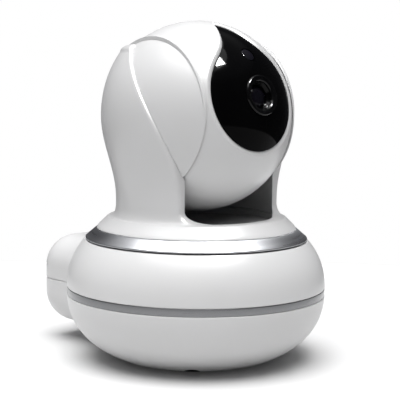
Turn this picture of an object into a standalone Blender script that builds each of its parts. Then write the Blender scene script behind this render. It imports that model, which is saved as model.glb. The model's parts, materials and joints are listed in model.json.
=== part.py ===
"""Pan-and-tilt baby monitor camera, built as an assembly of separate parts.

A ball-shaped camera head tilts between the two arms of a hood-like yoke.  The yoke
stands on a turntable that pans on a round base.  The base holds the electronics, the
pan drive and the ports in the housing at its back.

Metres, +Z up.  The front faces -Y.  The origin is on the pan axis, in the plane of the
surface that the foot pad rests on.
"""
import math

import bmesh
import bpy

# Base.
BASE_RADIUS = 0.0500
SEAM_Z = 0.0270            # middle of the trim ring between the two base shells
TRIM_HEIGHT = 0.0034
TRIM_DEPTH = 0.0036
DOME_SEMI_HEIGHT = 0.0329
DOME_POWER = 2.3
BOWL_SEMI_HEIGHT = 0.0306
BOWL_POWER = 2.32
UNDERSIDE_Z = 0.0010
DECK_Z = 0.0464            # top of the upper shell, under the turntable
WALL = 0.0022
GAP = 0.0003               # between neighbouring parts
FOOT_RADIUS = 0.0270
FOOT_THICKNESS = 0.0016
SCREW_CIRCLE = 0.0310
SCREW_WELL_RADIUS = 0.0032
SCREW_BORE_RADIUS = 0.0018
SCREW_BORE_TOP_Z = 0.0350
SCREW_RADIUS = 0.0013
SCREW_LENGTH = 0.0130
SCREW_HEAD_RADIUS = 0.0027
SCREW_HEAD_HEIGHT = 0.0018
SLOT_X = 0.0300            # speaker slots, through the right side of the lower shell
SLOT_SPACING = 0.0040
SLOT_WIDTH = 0.0016
SLOT_LOW_Z = 0.0130
SLOT_HIGH_Z = 0.0215

# Port housing on the back of the base.
HOUSING_WIDTH = 0.0540
HOUSING_REACH = 0.0720
HOUSING_BOTTOM_Z = 0.0080
HOUSING_TOP_Z = 0.0414
HOUSING_ROUNDING = 0.0130
HOUSING_INNER_Y = 0.0200
BEZEL_WIDTH = 0.0380
BEZEL_BOTTOM_Z = 0.0124
BEZEL_Y = 0.0665
BEZEL_THICKNESS = 0.0015
BEZEL_RECESS_Y = 0.0600

# Main board, and the parts on it: spans of X along the board, and heights over it.
BOARD_Z = 0.0120
BOARD_THICKNESS = 0.0016
BOARD_RADIUS = 0.0260
BOARD_TONGUE_Y = 0.0620
STANDOFF_OFFSET = 0.0165
STANDOFF_RADIUS = 0.0020
SHIELD_X = (-0.0190, -0.0030)
SHIELD_Y = (-0.0080, 0.0080)
SHIELD_HEIGHT = 0.0022
WIFI_X = (0.0010, 0.0130)
WIFI_Y = (0.0120, 0.0300)
WIFI_HEIGHT = 0.0024
PORT_HEIGHT = 0.0110
ETHERNET_X = (-0.0158, -0.0008)
ETHERNET_LENGTH = 0.0180
PLUG_X = (-0.0142, -0.0024)
PLUG_HEIGHTS = (0.0015, 0.0085)
PLUG_DEPTH = 0.0130
LATCH_X = (-0.0103, -0.0063)
LATCH_HEIGHTS = (0.0080, 0.0102)
POWER_X = (0.0005, 0.0095)
POWER_LENGTH = 0.0120
POWER_WELL_DEPTH = 0.0100
POWER_PIN_RADIUS = 0.0010
POWER_WELL_RADIUS = 0.0031
SWITCH_X = (0.0110, 0.0160)
SWITCH_Y = (0.0100, 0.0050)    # back from the ports' faces
SWITCH_HEIGHT = 0.0080
BUTTON_RADIUS = 0.0016
BUTTON_SHOULDER_RADIUS = 0.0024
BUTTON_GAP = 0.0010            # from the switch to the button's back
BUTTON_PROUD = 0.0006

# Speaker and antenna.
SPEAKER_RADIUS = 0.0120
SPEAKER_X = (0.0345, 0.0410)
ANTENNA_LOW = (-0.0100, 0.0580, 0.0345)
ANTENNA_HIGH = (0.0100, 0.0590, 0.0385)

# Turntable.
TABLE_Z = 0.0470
TRIM_OUTER_RADIUS = 0.0428
TRIM_INNER_RADIUS = 0.0379
TRIM_TOP_RADIUS = 0.0382
TABLE_TRIM_HEIGHT = 0.0038
HUB_RADIUS = 0.0070
HUB_BORE_RADIUS = 0.0042
CABLE_HOLE_Y = 0.0200

# Pan gears.
GEAR_MODULE = 0.0010
RING_TEETH = 36
PINION_TEETH = 10
GEAR_Z = 0.0360
GEAR_THICKNESS = 0.0040
GEAR_BACKLASH = 0.0002
TOOTH_TIP = 0.85           # tip height and root depth, in modules
TOOTH_ROOT = 1.15
TOOTH_OUTLINE = (("root", -0.33), ("tip", -0.11), ("tip", 0.11), ("root", 0.33))

# Head: a ball with flat sides, on the tilt axis.
BALL_Z = 0.0934
BALL_RADIUS = 0.0362
BALL_FLAT_X = 0.0232
HEAD_WALL = 0.0022
LENS_ELEVATION = math.radians(14.8)
HEAD_SPLIT_Y = 0.0140

# Face panel: a disc round the lens, drawn out into a point at its top.
PANEL_RADIUS = 0.0356
PANEL_THICKNESS = 0.0018
PANEL_DISC_ANGLE = math.radians(34.0)
PANEL_POINT_ANGLE = math.radians(28.5)
PANEL_POINT_SPREAD = math.radians(13.5)
PANEL_POINT_POWER = 1.2
LENS_BEZEL_RADIUS = 0.0080
LENS_RADIUS = 0.0042
LENS_SHELF = 0.0300        # distances along the lens axis, from the ball's centre
BARREL_RADIUS = 0.0060
BARREL_BORE_RADIUS = 0.0045
BARREL_BACK = 0.0185
HOLDER_HALF_WIDTH = 0.0090
HOLDER_SPAN = (0.0136, 0.0175)
HOLDER_TUBE_RADIUS = 0.0078
HOLDER_TUBE_END = 0.0235
SENSOR_BOARD_HALF_WIDTH = 0.0110
SENSOR_BOARD_SPAN = (0.0118, 0.0132)
SENSOR_HALF_WIDTH = 0.0035
SENSOR_SPAN = (0.0135, 0.0147)
IR_LED_COUNT = 8
IR_LED_CIRCLE = 0.0128
IR_LED_RADIUS = 0.0015
IR_LED_SPAN = (0.0258, 0.0296)
IR_BOARD_RADII = (0.0083, 0.0168)
IR_BOARD_SPAN = (0.0241, 0.0255)
MICROPHONE_Y = -0.0215     # below the lens, across its axis
MICROPHONE_SPAN = (0.0196, 0.0236)
MICROPHONE_RADIUS = 0.0020
SENSOR_WINDOW_ANGLE = math.radians(26.7)
SENSOR_WINDOW_RADIUS = 0.0027

# Yoke: a barrel-shaped wall round the ball, open at the front.  Heights are measured
# from the tilt axis.
YOKE_RADIUS = 0.0372
YOKE_WAIST_RADIUS = 0.0317
YOKE_WAIST_DROP = 0.0315
YOKE_TOP_RISE = 0.0275
YOKE_TOP_RADIUS = 0.0250
YOKE_SHOULDER_RISE = 0.0258
YOKE_DOME_SEMI_HEIGHT = 0.0410
YOKE_DOME_POWER = 2.1
YOKE_WALL = 0.0036
YOKE_BACK_STRETCH = 1.030
YOKE_BACK_POWER = 1.9
YOKE_HOLLOW_TOP_RISE = 0.0245
YOKE_FLARE_DROP = 0.0330
YOKE_FLOOR_DROP = 0.0393
YOKE_FLANGE_RADIUS = 0.0380
YOKE_FLANGE_BEVEL = 0.0012
YOKE_LIP_RADIUS = 0.0362
CRADLE_RADIUS = 0.0293     # straight hollow between the lower arms
CRADLE_DROP = 0.0220
ARM_FRONT_Y = -0.0184
ARM_FILLET = 0.0090
ARM_LEAN = 0.0276
ARM_LEAN_FROM = -0.0170
ARM_LEAN_HEIGHT = 0.0440
ARM_LEAN_POWER = 1.7
ARM_TOP_RISE = 0.0450
BALL_CLEARANCE = 0.0005
EAR_RADIUS = 0.0371
EAR_INNER_X = 0.0237
EAR_SEAM_X = 0.0229
EAR_SEAM_LEAN = math.radians(3.4)
EAR_LIP_X = 0.0195
EAR_BACK_Y = 0.0170

# Pivots of the head: a driven shaft on the right, a hollow pin on the left.
TILT_SHAFT_RADIUS = 0.0023
PIVOT_PIN_RADIUS = 0.0032
PIVOT_PIN_BORE = 0.0018
PIVOT_CLEARANCE = 0.0004
PIVOT_END_X = BALL_FLAT_X + 0.0058
RIGHT_BUSH_RADIUS = 0.0042
LEFT_BUSH_RADIUS = 0.0052
TILT_MOTOR_RADIUS = 0.0100
TILT_MOTOR_LENGTH = 0.0137

STEPS = 32
ROUND_STEPS = 20
SMALL_STEPS = 10
LEAN_STEPS = 8
FILLET_STEPS = 5
FLARE_STEPS = 4
MERGE = 0.00001
FAR = 0.0700

WHITE = (0.86, 0.86, 0.85, 1.0)
SILVER = (0.62, 0.62, 0.63, 1.0)
BLACK = (0.012, 0.012, 0.013, 1.0)
GREY = (0.16, 0.16, 0.17, 1.0)
STEEL = (0.52, 0.52, 0.53, 1.0)
BOARD_GREEN = (0.02, 0.16, 0.07, 1.0)
NYLON = (0.72, 0.70, 0.63, 1.0)
GLASS = (0.03, 0.02, 0.06, 1.0)


def clear_scene():
    for item in list(bpy.data.objects):
        bpy.data.objects.remove(item, do_unlink=True)


def make_collection(name):
    collection = bpy.data.collections.new(name)
    bpy.context.scene.collection.children.link(collection)
    return collection


clear_scene()
PARTS = make_collection("baby_monitor_camera")
CUTTERS = make_collection("cutters")


def material(name, colour, roughness, metallic=0.0):
    """A Principled material, made once for each name."""
    found = bpy.data.materials.get(name)
    if found:
        return found
    made = bpy.data.materials.new(name)
    made.use_nodes = True
    made.diffuse_color = colour
    shader = made.node_tree.nodes["Principled BSDF"]
    shader.inputs["Base Color"].default_value = colour
    shader.inputs["Roughness"].default_value = roughness
    shader.inputs["Metallic"].default_value = metallic
    return made


def add_object(name, mesh, place=(0, 0, 0), turn=(0, 0, 0), parent=None):
    made = bpy.data.objects.new(name, mesh)
    PARTS.objects.link(made)
    made.location = place
    made.rotation_euler = turn
    made.parent = parent
    return made


def finish(item, name, colour, roughness, metallic=0.0):
    """Give a part its material."""
    item.data.materials.clear()
    item.data.materials.append(material(name, colour, roughness, metallic))
    return item


def as_cutter(item):
    """Move an object to the cutters, where it is drawn as a wire guide."""
    for owner in list(item.users_collection):
        owner.objects.unlink(item)
    CUTTERS.objects.link(item)
    item.hide_render = True
    item.display_type = "WIRE"
    return item


def cut(item, tool, operation="DIFFERENCE"):
    """Cut, join or intersect a part with another object, which becomes a cutter."""
    as_cutter(tool)
    change = item.modifiers.new(tool.name, "BOOLEAN")
    change.operation = operation
    change.object = tool
    change.solver = "EXACT"
    return item


def smooth(mesh, angle=35.0):
    mesh.shade_smooth()
    mesh.set_sharp_from_angle(angle=math.radians(angle))


def lathe(name, profile, steps=STEPS, closed=True, **where):
    """Turn (radius, height) points round Z.  The outer side runs top to bottom."""
    mesh = bpy.data.meshes.new(name)
    corners = [(radius, 0.0, height) for radius, height in profile]
    edges = [(i, i + 1) for i in range(len(corners) - 1)]
    if closed:
        edges.append((len(corners) - 1, 0))
    mesh.from_pydata(corners, edges, [])
    made = add_object(name, mesh, **where)
    turn = made.modifiers.new("turn", "SCREW")
    turn.axis = "Z"
    turn.steps = steps
    turn.render_steps = steps
    turn.use_merge_vertices = True
    turn.merge_threshold = MERGE
    turn.use_smooth_shade = False
    return made


def cylinders(name, items, steps=ROUND_STEPS, **where):
    """One mesh of upright cylinders, each given as (x, y, z from, z to, radius)."""
    shape = bmesh.new()
    for x, y, low, high, radius in items:
        made = bmesh.ops.create_cone(shape, cap_ends=True, segments=steps,
                                     radius1=radius, radius2=radius, depth=high - low)
        bmesh.ops.translate(shape, verts=made["verts"], vec=(x, y, (low + high) / 2))
    mesh = bpy.data.meshes.new(name)
    shape.to_mesh(mesh)
    shape.free()
    smooth(mesh)
    return add_object(name, mesh, **where)


def boxes(name, corners, **where):
    """One mesh of separate boxes, each given by two opposite corners."""
    shape = bmesh.new()
    for low, high in corners:
        made = bmesh.ops.create_cube(shape, size=1.0)
        size = [b - a for a, b in zip(low, high)]
        middle = [(a + b) / 2 for a, b in zip(low, high)]
        bmesh.ops.scale(shape, verts=made["verts"], vec=size)
        bmesh.ops.translate(shape, verts=made["verts"], vec=middle)
    mesh = bpy.data.meshes.new(name)
    shape.to_mesh(mesh)
    shape.free()
    return add_object(name, mesh, **where)


def box(name, low, high, **where):
    return boxes(name, [(low, high)], **where)


def rounded_box(name, low, high, rounding, segments=4, **where):
    made = box(name, low, high, **where)
    soften = made.modifiers.new("rounding", "BEVEL")
    soften.width = rounding
    soften.segments = segments
    soften.limit_method = "NONE"
    return made


def bake(item):
    """Replace an object by a plain mesh of its evaluated shape."""
    settled = item.evaluated_get(bpy.context.evaluated_depsgraph_get())
    mesh = bpy.data.meshes.new_from_object(settled)
    shape = bmesh.new()
    shape.from_mesh(mesh)
    bmesh.ops.remove_doubles(shape, verts=shape.verts, dist=MERGE)
    shape.to_mesh(mesh)
    shape.free()
    made = bpy.data.objects.new(item.name + "_mesh", mesh)
    PARTS.objects.link(made)
    made.matrix_world = item.matrix_world.copy()
    bpy.data.objects.remove(item, do_unlink=True)
    return made


def outline_prism(name, points, depth, turn, place=(0, 0, 0), parent=None):
    """A flat outline with thickness: the outline's plane is XY before the turn."""
    curve = bpy.data.curves.new(name, "CURVE")
    curve.dimensions = "2D"
    curve.fill_mode = "BOTH"
    curve.extrude = depth / 2
    line = curve.splines.new("POLY")
    line.points.add(len(points) - 1)
    for spot, (x, y) in zip(line.points, points):
        spot.co = (x, y, 0.0, 1.0)
    line.use_cyclic_u = True
    drawn = add_object(name, curve)
    bpy.context.view_layer.update()
    made = bake(drawn)
    made.name = name
    made.location = place
    made.rotation_euler = turn
    made.parent = parent
    return made


def arc(radius, start, end, count):
    """Points (across, up) on an arc, with the angle measured down from the top."""
    turns = [start + (end - start) * i / count for i in range(count + 1)]
    return [(radius * math.sin(turn), radius * math.cos(turn)) for turn in turns]


def superellipse(height, semi_height, power, radius):
    """Radius of a superellipse at a height above its widest level."""
    return radius * (1.0 - (height / semi_height) ** power) ** (1.0 / power)


# ---------------------------------------------------------------- base shells

def dome_radius(z, inset=0.0):
    return superellipse(z - SEAM_Z, DOME_SEMI_HEIGHT - inset, DOME_POWER,
                        BASE_RADIUS - inset)


def bowl_radius(z, inset=0.0):
    return superellipse(SEAM_Z - z, BOWL_SEMI_HEIGHT - inset, BOWL_POWER,
                        BASE_RADIUS - inset)


LOWER_RIM_Z = SEAM_Z - TRIM_HEIGHT / 2 - GAP
UPPER_RIM_Z = SEAM_Z + TRIM_HEIGHT / 2 + GAP
HOUSING_SEAM_Z = LOWER_RIM_Z + GAP
FLOOR_Z = UNDERSIDE_Z + 0.0030
DECK_UNDER_Z = DECK_Z - WALL
POST_SPOTS = [(SCREW_CIRCLE * math.cos(math.radians(a)),
               SCREW_CIRCLE * math.sin(math.radians(a))) for a in (45, 135, 225, 315)]
STANDOFF_SPOTS = [(x, y) for x in (-STANDOFF_OFFSET, STANDOFF_OFFSET)
                  for y in (-STANDOFF_OFFSET, STANDOFF_OFFSET)]
POST_RADIUS = 0.0035
LOWER_POST_RADIUS = 0.0045
SCREW_HEAD_Z = 0.0195
MOTOR_Y = -(GEAR_MODULE * (RING_TEETH + PINION_TEETH) / 2 + GEAR_BACKLASH)
MOTOR_EAR_X = 0.0140
MOTOR_TOP_Z = 0.0340
MOTOR_RADIUS = 0.0115
MOTOR_HEIGHT = 0.0150
MOTOR_EAR_RADIUS = 0.0030
MOTOR_EAR_HALF_WIDTH = 0.0035
MOTOR_EAR_THICKNESS = 0.0010
MOTOR_BOSS_RADIUS = 0.0040
MOTOR_POST_RADIUS = 0.0025
MOTOR_SHAFT_RADIUS = 0.0014
MOTOR_BORE_RADIUS = 0.0018
SEAT_RADIUS = 0.0158
SEAT_HOLE_RADIUS = 0.0090
SEAT_LOW_Z = GEAR_Z + GEAR_THICKNESS + 0.0008
BEARING_LOW_Z = SEAT_LOW_Z + 0.0015
BEARING_RADIUS = 0.0127
CLIP_RADIUS = 0.0100
CLIP_THICKNESS = 0.0012
TRIM_LIP = 0.0008
OVER = 0.001                   # how far a cutter runs past the surface it opens


def heights(low, high, count):
    """Levels from low to high, closer together at the low end of a round shoulder."""
    return [low + (high - low) * math.sin(math.pi / 2 * i / count) for i in range(count + 1)]


def bowl_levels(top_z, bottom_z, inset):
    """Profile of the bowl from its rim down to its flat bottom."""
    levels = heights(top_z, bottom_z, 7)
    return [(bowl_radius(z, inset), z) for z in levels]


def dome_levels(top_z, bottom_z, inset):
    """Profile of the dome from its deck down to its rim."""
    levels = heights(bottom_z, top_z, 6)
    return [(dome_radius(z, inset), z) for z in reversed(levels)]


def housing_block(name, bottom_z, top_z, inset):
    """The port housing's rounded block, cut off between two levels."""
    low = (-HOUSING_WIDTH / 2 + inset, HOUSING_INNER_Y + inset, HOUSING_BOTTOM_Z + inset)
    high = (HOUSING_WIDTH / 2 - inset, HOUSING_REACH - inset, HOUSING_TOP_Z - inset)
    block = rounded_box(name, low, high, HOUSING_ROUNDING - inset)
    slab = box(name + "_slab", (-FAR, -FAR, bottom_z), (FAR, FAR, top_z))
    return cut(block, slab, "INTERSECT")


def make_lower_shell():
    outside = bowl_levels(LOWER_RIM_Z, UNDERSIDE_Z, 0.0)
    shell = lathe("base_lower_shell", [(0, LOWER_RIM_Z)] + outside + [(0, UNDERSIDE_Z)],
                  closed=False)
    cut(shell, housing_block("lower_housing", 0.0, LOWER_RIM_Z, 0.0), "UNION")
    inside = bowl_levels(LOWER_RIM_Z, FLOOR_Z, WALL)
    hollow = [(0, UPPER_RIM_Z), (inside[0][0], UPPER_RIM_Z)] + inside + [(0, FLOOR_Z)]
    cut(shell, lathe("bowl_hollow", hollow, closed=False))
    cut(shell, housing_block("lower_housing_hollow", 0.0, UPPER_RIM_Z, WALL))
    posts = [(x, y, FLOOR_Z - GAP, LOWER_RIM_Z, LOWER_POST_RADIUS) for x, y in POST_SPOTS]
    posts += [(x, y, FLOOR_Z - OVER, BOARD_Z - GAP, STANDOFF_RADIUS)
              for x, y in STANDOFF_SPOTS]
    cut(shell, cylinders("lower_posts", posts, SMALL_STEPS), "UNION")
    bores = [(x, y, -OVER, SCREW_HEAD_Z, SCREW_WELL_RADIUS) for x, y in POST_SPOTS]
    cut(shell, cylinders("screw_wells", bores, SMALL_STEPS))
    shanks = [(x, y, SCREW_HEAD_Z - OVER, UPPER_RIM_Z, SCREW_BORE_RADIUS)
              for x, y in POST_SPOTS]
    cut(shell, cylinders("lower_shank_bores", shanks, SMALL_STEPS))
    recess = [(0, 0, -OVER, FOOT_THICKNESS + GAP, FOOT_RADIUS + GAP)]
    cut(shell, cylinders("foot_recess", recess, STEPS))
    half = BEZEL_WIDTH / 2 + GAP
    cut(shell, box("port_opening", (-half, BEZEL_RECESS_Y, BEZEL_BOTTOM_Z - GAP),
                   (half, HOUSING_REACH + OVER, UPPER_RIM_Z)))
    slots = []
    for number in range(-2, 3):
        middle = number * SLOT_SPACING
        slots.append(((SLOT_X, middle - SLOT_WIDTH / 2, SLOT_LOW_Z),
                      (FAR, middle + SLOT_WIDTH / 2, SLOT_HIGH_Z)))
    cut(shell, boxes("speaker_slots", slots))
    finish(shell, "white_shell", WHITE, 0.25)


def make_upper_shell():
    outside = dome_levels(DECK_Z, UPPER_RIM_Z, 0.0)
    shell = lathe("base_upper_shell", [(0, DECK_Z)] + outside + [(0, UPPER_RIM_Z)],
                  closed=False)
    cut(shell, housing_block("upper_housing", HOUSING_SEAM_Z, FAR, 0.0), "UNION")
    inside = dome_levels(DECK_UNDER_Z, UPPER_RIM_Z, WALL)
    rim = BASE_RADIUS - TRIM_DEPTH + TRIM_LIP
    low = LOWER_RIM_Z - OVER
    hollow = [(0, DECK_UNDER_Z)] + inside + [(rim, low), (0, low)]
    cut(shell, lathe("dome_hollow", hollow, closed=False))
    cut(shell, housing_block("upper_housing_hollow", 0.0, FAR, WALL))
    bosses = [(x, y, LOWER_RIM_Z + GAP, DECK_Z - OVER, POST_RADIUS) for x, y in POST_SPOTS]
    cut(shell, cylinders("upper_bosses", bosses, SMALL_STEPS), "UNION")
    ears = [(x, MOTOR_Y, MOTOR_TOP_Z + GAP, DECK_Z - OVER, MOTOR_POST_RADIUS)
            for x in (-MOTOR_EAR_X, MOTOR_EAR_X)]
    cut(shell, cylinders("motor_posts", ears, SMALL_STEPS), "UNION")
    seat = [(SEAT_RADIUS, DECK_Z - OVER), (SEAT_RADIUS, SEAT_LOW_Z),
            (SEAT_HOLE_RADIUS, SEAT_LOW_Z), (SEAT_HOLE_RADIUS, DECK_Z - OVER)]
    cut(shell, lathe("bearing_tube", seat, ROUND_STEPS), "UNION")
    cut(shell, cylinders("bearing_bore",
                         [(0, 0, BEARING_LOW_Z - GAP, FAR, BEARING_RADIUS + GAP)]))
    cut(shell, cylinders("hub_bore", [(0, 0, GEAR_Z, FAR, HUB_RADIUS + 0.0008)]))
    shanks = [(x, y, 0.0, SCREW_BORE_TOP_Z, SCREW_BORE_RADIUS) for x, y in POST_SPOTS]
    cut(shell, cylinders("upper_shank_bores", shanks, SMALL_STEPS))
    finish(shell, "white_shell", WHITE, 0.25)


def make_trim_ring():
    low = SEAM_Z - TRIM_HEIGHT / 2
    high = SEAM_Z + TRIM_HEIGHT / 2
    inner = BASE_RADIUS - TRIM_DEPTH
    ring = lathe("base_trim_ring", [(inner, high), (BASE_RADIUS, high), (BASE_RADIUS, low),
                                    (inner, low)])
    half = HOUSING_WIDTH / 2 + GAP
    cut(ring, box("housing_gap", (-half, 0.0, 0.0), (half, FAR, FAR)))
    finish(ring, "silver_trim", SILVER, 0.35, 0.8)


def make_foot_pad():
    pad = cylinders("foot_pad", [(0, 0, 0.0, FOOT_THICKNESS, FOOT_RADIUS)], STEPS)
    finish(pad, "rubber", GREY, 0.8)


def make_base_screws():
    tip = SCREW_HEAD_Z + SCREW_LENGTH
    under_head = SCREW_HEAD_Z - GAP
    bottom = under_head - SCREW_HEAD_HEIGHT
    for number, (x, y) in enumerate(POST_SPOTS, start=1):
        profile = [(0, tip), (SCREW_RADIUS, tip), (SCREW_RADIUS, under_head),
                   (SCREW_HEAD_RADIUS, under_head), (SCREW_HEAD_RADIUS, bottom), (0, bottom)]
        screw = lathe(f"base_screw_{number}", profile, SMALL_STEPS, closed=False,
                      place=(x, y, 0))
        finish(screw, "screw_steel", STEEL, 0.35, 1.0)


# ---------------------------------------------------------------- base contents

def block(name, span_x, span_y, span_z):
    """A box given by its spans of X, Y and Z."""
    return box(name, (span_x[0], span_y[0], span_z[0]), (span_x[1], span_y[1], span_z[1]))


BOARD_TOP_Z = BOARD_Z + BOARD_THICKNESS + GAP
PORT_FACE_Y = BEZEL_Y - GAP
PORT_MIDDLE_Z = BOARD_TOP_Z + PORT_HEIGHT / 2
POWER_MIDDLE_X = (POWER_X[0] + POWER_X[1]) / 2
BUTTON_MIDDLE_X = (SWITCH_X[0] + SWITCH_X[1]) / 2
BACKWARD = (-math.pi / 2, 0, 0)


def over_board(heights_over):
    """Turn a span of heights over the board into a span of Z."""
    return (BOARD_TOP_Z + heights_over[0], BOARD_TOP_Z + heights_over[1])


def make_main_board():
    span_z = (BOARD_Z, BOARD_Z + BOARD_THICKNESS)
    board = cylinders("main_board", [(0, 0, *span_z, BOARD_RADIUS)])
    tongue = block("board_tongue", (ETHERNET_X[0], -ETHERNET_X[0]), (0.0, BOARD_TONGUE_Y), span_z)
    cut(board, tongue, "UNION")
    finish(board, "circuit_board", BOARD_GREEN, 0.5)
    shield = block("processor_shield", SHIELD_X, SHIELD_Y, over_board((0.0, SHIELD_HEIGHT)))
    finish(shield, "screw_steel", STEEL, 0.35, 1.0)
    module = block("wifi_module", WIFI_X, WIFI_Y, over_board((0.0, WIFI_HEIGHT)))
    finish(module, "screw_steel", STEEL, 0.35, 1.0)


def make_ethernet_port():
    span_z = over_board((0.0, PORT_HEIGHT))
    jack = block("ethernet_port", ETHERNET_X, (PORT_FACE_Y - ETHERNET_LENGTH, PORT_FACE_Y), span_z)
    span_y = (PORT_FACE_Y - PLUG_DEPTH, PORT_FACE_Y + OVER)
    cut(jack, block("plug_well", PLUG_X, span_y, over_board(PLUG_HEIGHTS)))
    cut(jack, block("latch_slot", LATCH_X, span_y, over_board(LATCH_HEIGHTS)))
    finish(jack, "black_plastic", BLACK, 0.45)


def make_power_port():
    span_z = over_board((0.0, PORT_HEIGHT))
    power = block("dc_jack", POWER_X, (PORT_FACE_Y - POWER_LENGTH, PORT_FACE_Y), span_z)
    ring = [(POWER_PIN_RADIUS, -POWER_WELL_DEPTH), (POWER_PIN_RADIUS, OVER),
            (POWER_WELL_RADIUS, OVER), (POWER_WELL_RADIUS, -POWER_WELL_DEPTH)]
    cut(power, lathe("power_well", ring, ROUND_STEPS,
                     place=(POWER_MIDDLE_X, PORT_FACE_Y, PORT_MIDDLE_Z), turn=BACKWARD))
    finish(power, "black_plastic", BLACK, 0.45)


def make_reset():
    face = PORT_FACE_Y - SWITCH_Y[1]
    switch = block("reset_switch", SWITCH_X, (PORT_FACE_Y - SWITCH_Y[0], face),
                   over_board((0.0, SWITCH_HEIGHT)))
    finish(switch, "black_plastic", BLACK, 0.45)

    back = face + BUTTON_GAP
    tip = BEZEL_Y + BEZEL_THICKNESS + BUTTON_PROUD - back
    shoulder = PORT_FACE_Y - GAP - back
    profile = [(0, tip), (BUTTON_RADIUS, tip), (BUTTON_RADIUS, shoulder),
               (BUTTON_SHOULDER_RADIUS, shoulder), (BUTTON_SHOULDER_RADIUS, 0.0), (0, 0.0)]
    button = lathe("reset_button", profile, ROUND_STEPS, closed=False,
                   place=(BUTTON_MIDDLE_X, back, PORT_MIDDLE_Z), turn=BACKWARD)
    finish(button, "grey_plastic", GREY, 0.5)


def make_port_bezel():
    half = BEZEL_WIDTH / 2
    bezel = block("port_bezel", (-half, half), (BEZEL_Y, BEZEL_Y + BEZEL_THICKNESS),
                  (BEZEL_BOTTOM_Z, LOWER_RIM_Z - GAP))
    span_y = (BEZEL_Y - OVER, BEZEL_Y + BEZEL_THICKNESS + OVER)
    cut(bezel, block("plug_window", PLUG_X, span_y, over_board(PLUG_HEIGHTS)))
    cut(bezel, block("latch_window", LATCH_X, span_y, over_board(LATCH_HEIGHTS)))
    holes = [(POWER_MIDDLE_X, -PORT_MIDDLE_Z, *span_y, POWER_WELL_RADIUS + GAP),
             (BUTTON_MIDDLE_X, -PORT_MIDDLE_Z, *span_y, BUTTON_RADIUS + 0.0004)]
    cut(bezel, cylinders("port_holes", holes, turn=BACKWARD))
    finish(bezel, "grey_plastic", GREY, 0.5)


def make_speaker():
    back, front = SPEAKER_X
    profile = [(0, front), (SPEAKER_RADIUS - 0.0020, front), (SPEAKER_RADIUS, front - 0.0015),
               (SPEAKER_RADIUS, back + 0.0030), (SPEAKER_RADIUS - 0.0045, back), (0, back)]
    speaker = lathe("speaker", profile, closed=False, place=(0, 0, SEAM_Z),
                    turn=(0, math.pi / 2, 0), steps=ROUND_STEPS)
    finish(speaker, "black_plastic", BLACK, 0.45)


def make_antenna():
    antenna = box("wifi_antenna", ANTENNA_LOW, ANTENNA_HIGH)
    finish(antenna, "circuit_board", BOARD_GREEN, 0.5)


# ---------------------------------------------------------------- pan drive

def gear_points(teeth, first_angle):
    """Outline of a gear with straight-sided teeth, thinned for running clearance."""
    pitch_radius = GEAR_MODULE * teeth / 2
    radii = {"tip": pitch_radius + TOOTH_TIP * GEAR_MODULE,
             "root": pitch_radius - TOOTH_ROOT * GEAR_MODULE}
    step = 2 * math.pi / teeth
    points = []
    for tooth in range(teeth):
        middle = first_angle + tooth * step
        for level, offset in TOOTH_OUTLINE:
            turn = middle + offset * step
            points.append((radii[level] * math.cos(turn), radii[level] * math.sin(turn)))
    return points


def make_pan_drive():
    facing = -math.pi / 2
    ring = outline_prism("pan_gear", gear_points(RING_TEETH, facing), GEAR_THICKNESS,
                         (0, 0, 0), (0, 0, GEAR_Z + GEAR_THICKNESS / 2))
    cut(ring, cylinders("gear_bore", [(0, 0, 0.0, FAR, HUB_RADIUS + GAP)]))
    finish(ring, "nylon", NYLON, 0.5)

    half_tooth = math.pi / PINION_TEETH
    pinion = outline_prism("pan_pinion", gear_points(PINION_TEETH, -facing + half_tooth),
                           GEAR_THICKNESS, (0, 0, 0),
                           (0, MOTOR_Y, GEAR_Z + GEAR_THICKNESS / 2))
    shaft = cylinders("pinion_shaft", [(0, MOTOR_Y, MOTOR_TOP_Z - 0.0030, GEAR_Z + OVER,
                                        MOTOR_SHAFT_RADIUS)], SMALL_STEPS)
    cut(pinion, shaft, "UNION")
    finish(pinion, "nylon", NYLON, 0.5)

    motor = cylinders("pan_motor", [(0, MOTOR_Y, MOTOR_TOP_Z - MOTOR_HEIGHT, MOTOR_TOP_Z,
                                     MOTOR_RADIUS)])
    half = MOTOR_EAR_X + MOTOR_EAR_RADIUS
    ear_top = MOTOR_TOP_Z - 0.0002
    flange = block("motor_flange", (-half, half),
                   (MOTOR_Y - MOTOR_EAR_HALF_WIDTH, MOTOR_Y + MOTOR_EAR_HALF_WIDTH),
                   (ear_top - MOTOR_EAR_THICKNESS, ear_top))
    cut(motor, flange, "UNION")
    boss = cylinders("motor_boss", [(0, MOTOR_Y, MOTOR_TOP_Z - OVER, MOTOR_TOP_Z + 0.0012,
                                     MOTOR_BOSS_RADIUS)], SMALL_STEPS)
    cut(motor, boss, "UNION")
    cut(motor, cylinders("motor_bore", [(0, MOTOR_Y, MOTOR_TOP_Z - 0.0045, FAR,
                                         MOTOR_BORE_RADIUS)], SMALL_STEPS))
    finish(motor, "screw_steel", STEEL, 0.35, 1.0)

    high = TABLE_Z - 0.0010
    inner = HUB_RADIUS + GAP
    bearing = lathe("pan_bearing", [(inner, high), (BEARING_RADIUS, high),
                                    (BEARING_RADIUS, BEARING_LOW_Z), (inner, BEARING_LOW_Z)],
                    ROUND_STEPS)
    finish(bearing, "screw_steel", STEEL, 0.2, 1.0)


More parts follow.
